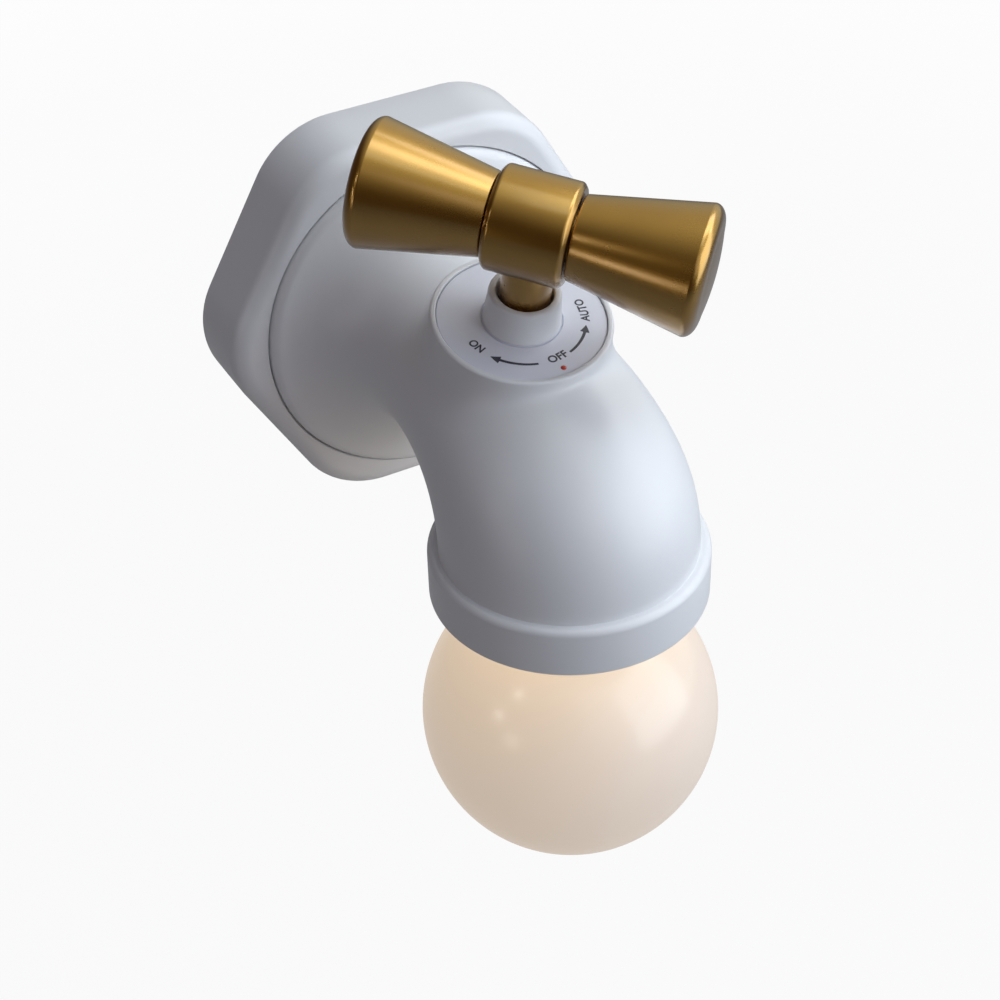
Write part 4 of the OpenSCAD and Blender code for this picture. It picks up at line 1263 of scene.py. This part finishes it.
@dataclass
class Dial(Assembly):
    """The printed dial with its words, arrows and status light, and the bonnet round the stem."""

    place_of_dial: Matrix
    dial_r: float = 16.0
    dial_t: float = 0.8
    dial_round: float = 0.22
    hole_r: float = 6.35
    groove_r: float = 7.45
    groove_w: float = 0.36
    groove_t: float = 0.4
    ink: float = 0.03
    ink_crease: float = 30.0
    stroke: float = 0.025
    words: tuple[tuple[Word, float, float, float], ...] = (
        (Word.ON, -164.0, 11.6, 16.0), (Word.OFF, -83.5, 11.6, 20.0),
        (Word.AUTO, -13.0, 11.9, 28.0))
    word_h: float = 1.75
    arrows: tuple[tuple[float, float], ...] = ((-103.4, -146.8), (-70.3, -32.0))
    arrow_r: float = 12.0
    arrow_half: tuple[float, float] = (0.23, 0.29)
    arrow_steps: int = 24
    head_sweep: float = 9.0
    head_slant: float = 0.3
    head_half: tuple[float, float] = (0.9, 0.03)
    head_steps: int = 6
    light_r: float = 0.55
    light_at: float = 14.4
    light_angle: float = -86.0
    light_rise: tuple[float, float] = (0.02, 0.18)
    light_sides: int = 40
    bonnet: tuple[Place, ...] = (
        (4.95, -9.0, 0.0), (6.2, -9.0, 0.3), (6.2, 0.02, 0.0), (7.4, 0.02, 0.1), (6.8, 7.1, 0.7),
        (5.4, 7.1, 0.45), (5.4, 2.1, 0.1), (4.95, 2.1, 0.0))

    def build(self) -> None:
        """Builds the dial, its print, its light and the bonnet with its deep bore."""
        place = self.place_of_dial
        disc = lathe("dial_disc", rounded(self.disc_corners(), closed=True), place, closed=True)
        self.place(disc, DIAL_PLASTIC, Slot.PRINT, "dial_plate")
        for word, angle, r, sweep in self.words:
            self.place(self.build_word(word, angle, r, sweep), DIAL_INK, Slot.PRINT)
        for number, (tail, head) in enumerate(self.arrows, 1):
            self.place(self.build_arrow(f"dial_arrow_{number}", tail, head), DIAL_INK, Slot.PRINT)
        self.place(self.build_light(), RED_LENS, Slot.RED, "status_light")
        bonnet = lathe("bonnet_ring", rounded(self.bonnet, closed=True), place, closed=True)
        self.place(bonnet, WHITE_PLASTIC, Slot.WHITE, "stem_bonnet")

    def disc_corners(self) -> list[Place]:
        """Gives the corners of the disc's profile, with the fine groove round the bonnet's foot.

        Returns:
            Each corner as (radius, height, rounding).
        """
        fine, finer, low = 0.05, 0.04, -self.groove_t
        shape = ((1, 0, 0.06), (0.85, low, finer), (0.15, low, finer), (0, 0, finer))
        groove = [(self.groove_r + self.groove_w * share, z, rounding)
                  for share, z, rounding in shape]
        return [(self.hole_r, -self.dial_t, 0), (self.dial_r, -self.dial_t, fine),
                (self.dial_r, 0, self.dial_round), *groove, (self.hole_r, 0, 2 * fine)]

    def build_light(self) -> Piece:
        """Builds the small domed lens of the status light at the dial's rim.

        Returns:
            The object.
        """
        spot = Matrix.Translation(around(self.light_at, math.radians(self.light_angle), 0))
        (low, high), arc_step, arc_steps = self.light_rise, 15, 6
        dome = [(self.light_r * math.cos(a), low + (high - low) * math.sin(a))
                for a in (math.radians(arc_step * k) for k in range(arc_steps))]
        profile = [(0, -self.dial_t), (self.light_r, -self.dial_t), *dome, (0, high)]
        return lathe("status_lens", profile, self.place_of_dial @ spot, sides=self.light_sides)

    def bend(self, x: float, y: float, z: float, r: float, angle: float) -> Place:
        """Bends a place on a flat line of text round the dial, to a radius and a middle angle."""
        return around(r - y, math.radians(angle) + x / r, z)

    def build_word(self, word: Word, angle: float, r: float, sweep: float) -> Piece:
        """Builds a printed word as thin raised ink.

        Args:
            word: The word.
            angle: Its middle on the dial in degrees.
            r: Radius of its middle line.
            sweep: Degrees that it covers.

        Returns:
            The object.
        """
        letter_depth, curve_steps, weld = 0.02, 6, 1e-5
        curve = bpy.data.curves.new("word_outline", "FONT")
        curve.body = word.value
        curve.extrude = letter_depth
        curve.offset = self.stroke
        curve.resolution_u = curve_steps
        outline = bpy.data.objects.new("word_outline", curve)
        bpy.context.scene.collection.objects.link(outline)
        mesh = baked_mesh(outline)
        bpy.data.objects.remove(outline)
        flat = bmesh.new()
        flat.from_mesh(mesh)
        bmesh.ops.remove_doubles(flat, verts=flat.verts, dist=weld)
        low = Vector([min(v.co[i] for v in flat.verts) for i in range(3)])
        high = Vector([max(v.co[i] for v in flat.verts) for i in range(3)])
        size, middle = high - low, (low + high) / 2
        width = math.radians(sweep) * r
        points = [
            self.bend((v.co.x - middle.x) / size.x * width,
                      (v.co.y - middle.y) / size.y * self.word_h,
                      (v.co.z - low.z) / size.z * self.ink, r, angle)
            for v in flat.verts]
        faces = [[v.index for v in f.verts] for f in flat.faces]
        flat.free()
        name = f"dial_word_{word.value.lower()}"
        return make_piece(name, points, faces, place=self.place_of_dial, crease=self.ink_crease)

    def build_arrow(self, name: str, tail: float, head: float) -> Piece:
        """Builds a curved arrow as thin raised ink.

        Args:
            name: Name of the piece.
            tail: Angle of its tail in degrees.
            head: Angle of its tip.

        Returns:
            The object.
        """
        way = 1 if head > tail else -1
        neck = head - way * self.head_sweep
        thin, thick = self.arrow_half
        wide, tip = self.head_half
        steps, head_steps = self.arrow_steps, self.head_steps
        stations = [(tail + (neck - tail) * k / steps, thin + (thick - thin) * k / steps)
                    for k in range(steps + 1)]
        stations.append((neck + way * self.head_slant, wide))
        stations += [(neck + (head - neck) * k / head_steps, wide * (1 - k / head_steps) + tip)
                     for k in range(1, head_steps + 1)]
        sections = []
        for angle, half in stations:
            low, high = self.arrow_r - half, self.arrow_r + half
            corners = (low, 0.0), (high, 0.0), (high, self.ink), (low, self.ink)
            sections.append([around(r, math.radians(angle), z) for r, z in corners])
        return make_piece(name, *capped(sections), place=self.place_of_dial, crease=self.ink_crease)


@dataclass
class Handle(Assembly):
    """The cross handle: a barrel and two cones with rounded rims, which turn with the stem."""

    body = Body.HANDLE
    place_of_dial: Matrix
    height: float = 23.0
    rest_angle: float = -44.5
    arc_step: float = 8.0
    hub_r: float = 9.8
    hub_half: float = 7.6
    hub_bevel: float = 0.9
    hub_edge: float = 0.75
    knob_gap: float = 0.3
    knob_neck_r: float = 5.0
    knob_inner_r: float = 7.9
    knob_inner_round: float = 0.45
    knob_outer_r: float = 12.17
    knob_len: float = 25.6
    knob_round: float = 2.4
    knob_roll: float = 3.4
    roll_steps: int = 16
    knob_dome: float = 0.8
    dome_steps: int = 12
    knob_crease: float = 0.12

    def build(self) -> None:
        """Builds the barrel and the two cones."""
        turned = self.place_of_dial @ Matrix.Rotation(math.radians(self.rest_angle), 4, "Z")
        axis = turned @ Matrix.Translation((0, 0, self.height))
        right, left = (axis @ Matrix.Rotation(math.radians(turn), 4, "Y") for turn in (90, -90))
        hub, cone = self.hub_profile(), self.cone_profile()
        for name, node, profile, place in (("hub_barrel", "handle_hub", hub, right),
                                           ("left_cone", "left_knob", cone, left),
                                           ("right_cone", "right_knob", cone, right)):
            self.place(lathe(name, profile, place), ANTIQUE_GOLD, Slot.GOLD, node)

    def hub_profile(self) -> Profile:
        """Gives the barrel's profile, with a bevelled and rounded rim at each end.

        Returns:
            The profile.
        """
        half, r, edge = self.hub_half, self.hub_r, self.hub_half - self.hub_edge
        inner_r, soft, softer = r - self.hub_bevel, 0.5, 0.9
        return rounded([(0, -half, 0), (inner_r, -half, soft), (r, -edge, softer),
                        (r, edge, softer), (inner_r, half, soft), (0, half, 0)],
                       step=self.arc_step)

    def cone_profile(self) -> Profile:
        """Gives a cone's profile: neck, slope, a crease, the rolled rim and the domed end.

        Returns:
            The profile.
        """
        start = self.hub_half + self.knob_gap
        end = start + self.knob_len
        crease = end - self.knob_dome - self.knob_round
        neck_r, outer_r = self.knob_neck_r, self.knob_outer_r
        low = rounded([(0, self.hub_half, 0), (neck_r, self.hub_half, 0), (neck_r, start, 0),
                       (self.knob_inner_r, start, self.knob_inner_round), (outer_r, crease, 0)],
                      step=self.arc_step)
        slope = Vector((outer_r - low[-2][0], crease - low[-2][1])).normalized()
        low.insert(-1, tuple(Vector(low[-1]) - self.knob_crease * slope))
        flat_r, steps, dome_steps = outer_r - self.knob_roll, self.roll_steps, self.dome_steps
        roll_start, roll_sweep = 1, 89
        turns = [math.radians(roll_start + roll_sweep * k / steps) for k in range(steps + 1)]
        roll = [(flat_r + self.knob_roll * math.cos(a), crease + self.knob_round * math.sin(a))
                for a in turns]
        radii = [flat_r * (1 - k / dome_steps) for k in range(1, dome_steps + 1)]
        return low + roll + [(r, end - self.knob_dome * (r / flat_r) ** 2) for r in radii]


@dataclass
class LampHead(Assembly):
    """The collar round the elbow's mouth and the milky globe."""

    mouth_y: float = 74.0
    mouth_z: float = 21.2
    collar_r: float = 27.3
    collar_h: float = 10.6
    collar_round: float = 2.0
    collar_low_round: float = 0.7
    bore_r: float = 24.35
    neck_bore_r: float = 18.3
    ledge_t: float = 2.2
    globe_r: float = 29.995
    globe_wall: float = 1.5
    globe_drop: float = 32.6
    globe_steps: int = 64
    neck_r: float = 18.0
    flange_r: float = 21.0
    flange_t: float = 1.2
    seat_gap: float = 0.15
    bevel: float = 0.2
    mouth_bevel: float = 0.3
    sides: int = 180

    def build(self) -> None:
        """Builds the collar and the globe."""
        place = Matrix.Translation((0, -self.mouth_y, 0))
        collar = lathe("collar_ring", self.collar_profile(), place, closed=True, sides=self.sides)
        self.place(collar, WHITE_PLASTIC, Slot.WHITE, "lamp_collar")
        globe = lathe("globe_bulb", self.globe_profile(), place, sides=self.sides)
        self.place(globe, MILKY_GLOBE, Slot.MILKY, "globe")

    def collar_profile(self) -> Profile:
        """Gives the collar's profile, with the ledge that the globe's flange lies on.

        Returns:
            The profile.
        """
        top, low = -self.mouth_z, -self.mouth_z - self.collar_h
        ledge, neck_r, bore_r = low + self.ledge_t, self.neck_bore_r, self.bore_r
        return rounded([(neck_r, low, self.mouth_bevel),
                        (self.collar_r, low, self.collar_low_round),
                        (self.collar_r, top, self.collar_round), (bore_r, top, self.mouth_bevel),
                        (bore_r, ledge, self.bevel), (neck_r, ledge, self.bevel)], closed=True)

    def globe_profile(self) -> Profile:
        """Gives the globe's profile: up the outside, round the neck's flange and down the inside.

        Returns:
            The profile.
        """
        low = -self.mouth_z - self.collar_h
        centre = low - self.globe_drop
        flange_top = low + self.ledge_t + self.seat_gap + self.flange_t
        flange_low = flange_top - self.flange_t
        inner_r, inner_neck = self.globe_r - self.globe_wall, self.neck_r - self.globe_wall
        outer_join = math.asin(self.neck_r / self.globe_r)
        inner_join = math.asin(inner_neck / inner_r)
        shares = [k / self.globe_steps for k in range(self.globe_steps + 1)]
        outside = [(self.globe_r * math.sin(a), centre + self.globe_r * math.cos(a))
                   for a in (math.pi - (math.pi - outer_join) * share for share in shares)]
        outside[0] = (0.0, centre - self.globe_r)
        neck = rounded([(self.neck_r, outside[-1][1], 0), (self.neck_r, flange_low, 0),
                        (self.flange_r, flange_low, self.bevel / 2),
                        (self.flange_r, flange_top, self.bevel),
                        (inner_neck, flange_top, self.bevel),
                        (inner_neck, centre + inner_r * math.cos(inner_join), 0)])
        inside = [(inner_r * math.sin(a), centre + inner_r * math.cos(a))
                  for a in (inner_join + (math.pi - inner_join) * share for share in shares[1:-1])]
        return outside + neck[1:] + inside + [(0.0, centre - inner_r)]


# The stage


@dataclass(frozen=True)
class SoftLight:
    """A soft square light.

    Attributes:
        name: Its name.
        at: Its place.
        aim: The point that it faces.
        size: Side of the square.
        power: Power in watts.
        colour: Its colour.
        reach: What it acts on.
    """

    name: str
    at: Place
    aim: Place
    size: float
    power: float
    colour: Colour
    reach: Reach = Reach.ALL

    def build(self) -> None:
        """Adds the light to the scene."""
        light = bpy.data.lights.new(self.name, "AREA")
        light.size = self.size * MM
        light.energy = self.power
        light.color = self.colour
        holder = bpy.data.objects.new(self.name, light)
        bpy.context.scene.collection.objects.link(holder)
        holder.visible_diffuse = self.reach is not Reach.GLOSS
        holder.visible_glossy = self.reach is not Reach.MATTE
        holder.location = Vector(self.at) * MM
        holder.rotation_mode = "QUATERNION"
        holder.rotation_quaternion = (Vector(self.aim) - Vector(self.at)).to_track_quat("-Z", "Y")


ELBOW_MIDDLE = (0, -55, -10)
DIAL_MIDDLE = (0, -60, 0)
GLOBE_MIDDLE = (0, -74, -64)
PANE_WHITE = (1.0, 0.97, 0.92)
SOFT_LIGHTS = (
    SoftLight("window_high", (420, -60, 430), ELBOW_MIDDLE, 400, 1.43, (0.89, 0.93, 1.0)),
    SoftLight("window_front", (430, -480, 160), ELBOW_MIDDLE, 620, 2.85, (0.84, 0.92, 1.0)),
    SoftLight("skylight", (150, -170, 625), DIAL_MIDDLE, 430, 0.62, (0.66, 0.84, 1.0)),
    SoftLight("high_pane", (205, -135, 625), DIAL_MIDDLE, 180, 0.26, PANE_WHITE),
    SoftLight("front_fill", (40, -560, 330), (0, -50, 0), 420, 0.30, (0.86, 0.86, 1.0)),
    SoftLight("warm_bounce", (-60, -330, -420), (0, -40, -20), 260, 0.10, (1.0, 0.66, 0.44)),
    SoftLight("back_fill", (60, 560, 60), (0, 0, 0), 500, 1.0, (0.95, 0.97, 1.0), Reach.MATTE),
    SoftLight("far_pane_high", (-521, -145, 364), GLOBE_MIDDLE, 45, 0.12, PANE_WHITE, Reach.GLOSS),
    SoftLight("far_pane_middle", (-642, -92, 149), GLOBE_MIDDLE, 45, 0.12, PANE_WHITE, Reach.GLOSS),
    SoftLight("far_pane_low", (-642, -275, 20), GLOBE_MIDDLE, 110, 0.12, (1.0, 0.93, 0.82)))


@dataclass
class Studio:
    """The camera, the soft surroundings, the pale floor and the lights."""

    eye: Place = (-161.733, -361.276, 241.803)
    yaw: float = 27.123
    pitch: float = -37.511
    roll: float = -1.747
    focal_pixels: float = 2200.0
    picture_pixels: float = 1000.0
    sensor: float = 36.0
    near_far: tuple[float, float] = (0.01, 20.0)
    room_tone: Colour = (0.143, 0.133, 0.147)
    dark_side: Colour = (0.082, 0.054, 0.032)
    bright_side: Colour = (0.95, 0.92, 0.66)
    key_side: Place = (0.70, -0.10, 0.70)
    key_start: float = -0.15
    floor_z: float = -260.0
    floor_half: float = 1500.0
    floor_tone: float = 0.36
    floor_shine: float = 0.08
    floor_near: tuple[float, float] = (0.35, 0.94)
    floor_far: tuple[float, float] = (1.1, 1.0)
    lights: tuple[SoftLight, ...] = SOFT_LIGHTS

    def build(self) -> None:
        """Builds the stage."""
        self.build_camera()
        self.build_world()
        self.build_floor()
        for light in self.lights:
            light.build()

    def build_camera(self) -> None:
        """Builds the camera at the photograph's viewing angle."""
        camera = bpy.data.cameras.new("camera")
        camera.sensor_width = self.sensor
        camera.lens = self.focal_pixels / self.picture_pixels * self.sensor
        camera.clip_start, camera.clip_end = self.near_far
        holder = bpy.data.objects.new("camera", camera)
        bpy.context.scene.collection.objects.link(holder)
        yaw, pitch, roll = (math.radians(a) for a in (self.yaw, self.pitch, self.roll))
        level = math.cos(pitch)
        forward = Vector((math.sin(yaw) * level, math.cos(yaw) * level, math.sin(pitch)))
        right = Vector((math.cos(yaw), -math.sin(yaw), 0))
        up = right.cross(forward)
        right, up = (math.cos(roll) * right + math.sin(roll) * up,
                     math.cos(roll) * up - math.sin(roll) * right)
        turn = Matrix((right, up, -forward)).transposed().to_4x4()
        holder.matrix_world = Matrix.Translation(Vector(self.eye) * MM) @ turn
        bpy.context.scene.camera = holder

    def build_world(self) -> None:
        """Builds a plain soft world, white to the camera and brighter to one side in gloss."""
        world = bpy.data.worlds.new("studio_world")
        bpy.context.scene.world = world
        graph = Graph.of(world)
        way = graph.add("ShaderNodeTexCoord").outputs["Generated"]
        facing = graph.add("ShaderNodeVectorMath", {0: way, 1: Vector(self.key_side).normalized()},
                           operation="DOT_PRODUCT").outputs["Value"]
        share = graph.add("ShaderNodeMapRange", {
            "Value": facing, "From Min": self.key_start, "From Max": 1.0},
            interpolation_type="SMOOTHSTEP").outputs[0]
        room = graph.add("ShaderNodeBackground", {"Color": (*self.room_tone, 1)})
        mirror = graph.add("ShaderNodeBackground", {
            "Color": graph.mix(share, (*self.dark_side, 1), (*self.bright_side, 1))})
        white = graph.add("ShaderNodeBackground", {"Color": (1, 1, 1, 1), "Strength": 1.0})
        ray = graph.add("ShaderNodeLightPath").outputs
        lit = graph.blend(ray["Is Glossy Ray"], room, mirror)
        seen = graph.math("MAXIMUM", ray["Is Camera Ray"], ray["Is Transmission Ray"])
        graph.finish("ShaderNodeOutputWorld", graph.blend(seen, lit, white))

    def build_floor(self) -> None:
        """Builds the pale floor, which keeps a faint shadow."""
        half, tone = self.floor_half, self.floor_tone
        corners = (-half, -half), (half, -half), (half, half), (-half, half)
        floor = make_piece("floor", [(x, y, self.floor_z) for x, y in corners], [(0, 1, 2, 3)])
        material = bpy.data.materials.new("pale_floor")
        graph = Graph.of(material)
        paint = graph.add("ShaderNodeBsdfDiffuse", {"Color": (tone, tone, tone, 1)})
        white = graph.add("ShaderNodeEmission", {"Color": (1, 1, 1, 1), "Strength": 1.0})
        ray = graph.add("ShaderNodeLightPath").outputs
        clear = graph.math("MAXIMUM", ray["Is Camera Ray"], ray["Is Transmission Ray"])
        shine = graph.math("MULTIPLY", ray["Is Glossy Ray"], self.floor_shine)
        seen = graph.math("MAXIMUM", clear, shine)
        place = graph.add("ShaderNodeTexCoord").outputs["Object"]
        away = graph.add("ShaderNodeVectorMath", {0: place}, operation="LENGTH").outputs["Value"]
        (near, near_share), (far, far_share) = self.floor_near, self.floor_far
        fade = graph.add("ShaderNodeMapRange", {
            "Value": away, "From Min": near, "From Max": far, "To Min": near_share,
            "To Max": far_share}, interpolation_type="SMOOTHSTEP").outputs[0]
        pale = graph.blend(graph.math("MULTIPLY", seen, fade), paint, white)
        graph.finish("ShaderNodeOutputMaterial", pale)
        floor.data.materials.append(material)


def main() -> None:
    """Builds the wall light's sub-assemblies in order, then the stage."""
    logging.basicConfig(level=logging.INFO, format="%(name)s: %(message)s")
    for name, finish in NODE_FINISHES.items():
        finish.dress(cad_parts[name])
        log.info("%s: %s", name, finish.name)
    elbow = Elbow()
    dial_frame = elbow.dial_frame()
    for part in (HexBase(), elbow, Dial(dial_frame), Handle(dial_frame), LampHead()):
        part.build()
    Studio().build()
    bpy.context.scene.view_settings.view_transform = "Standard"


if __name__ == "__main__":
    main()
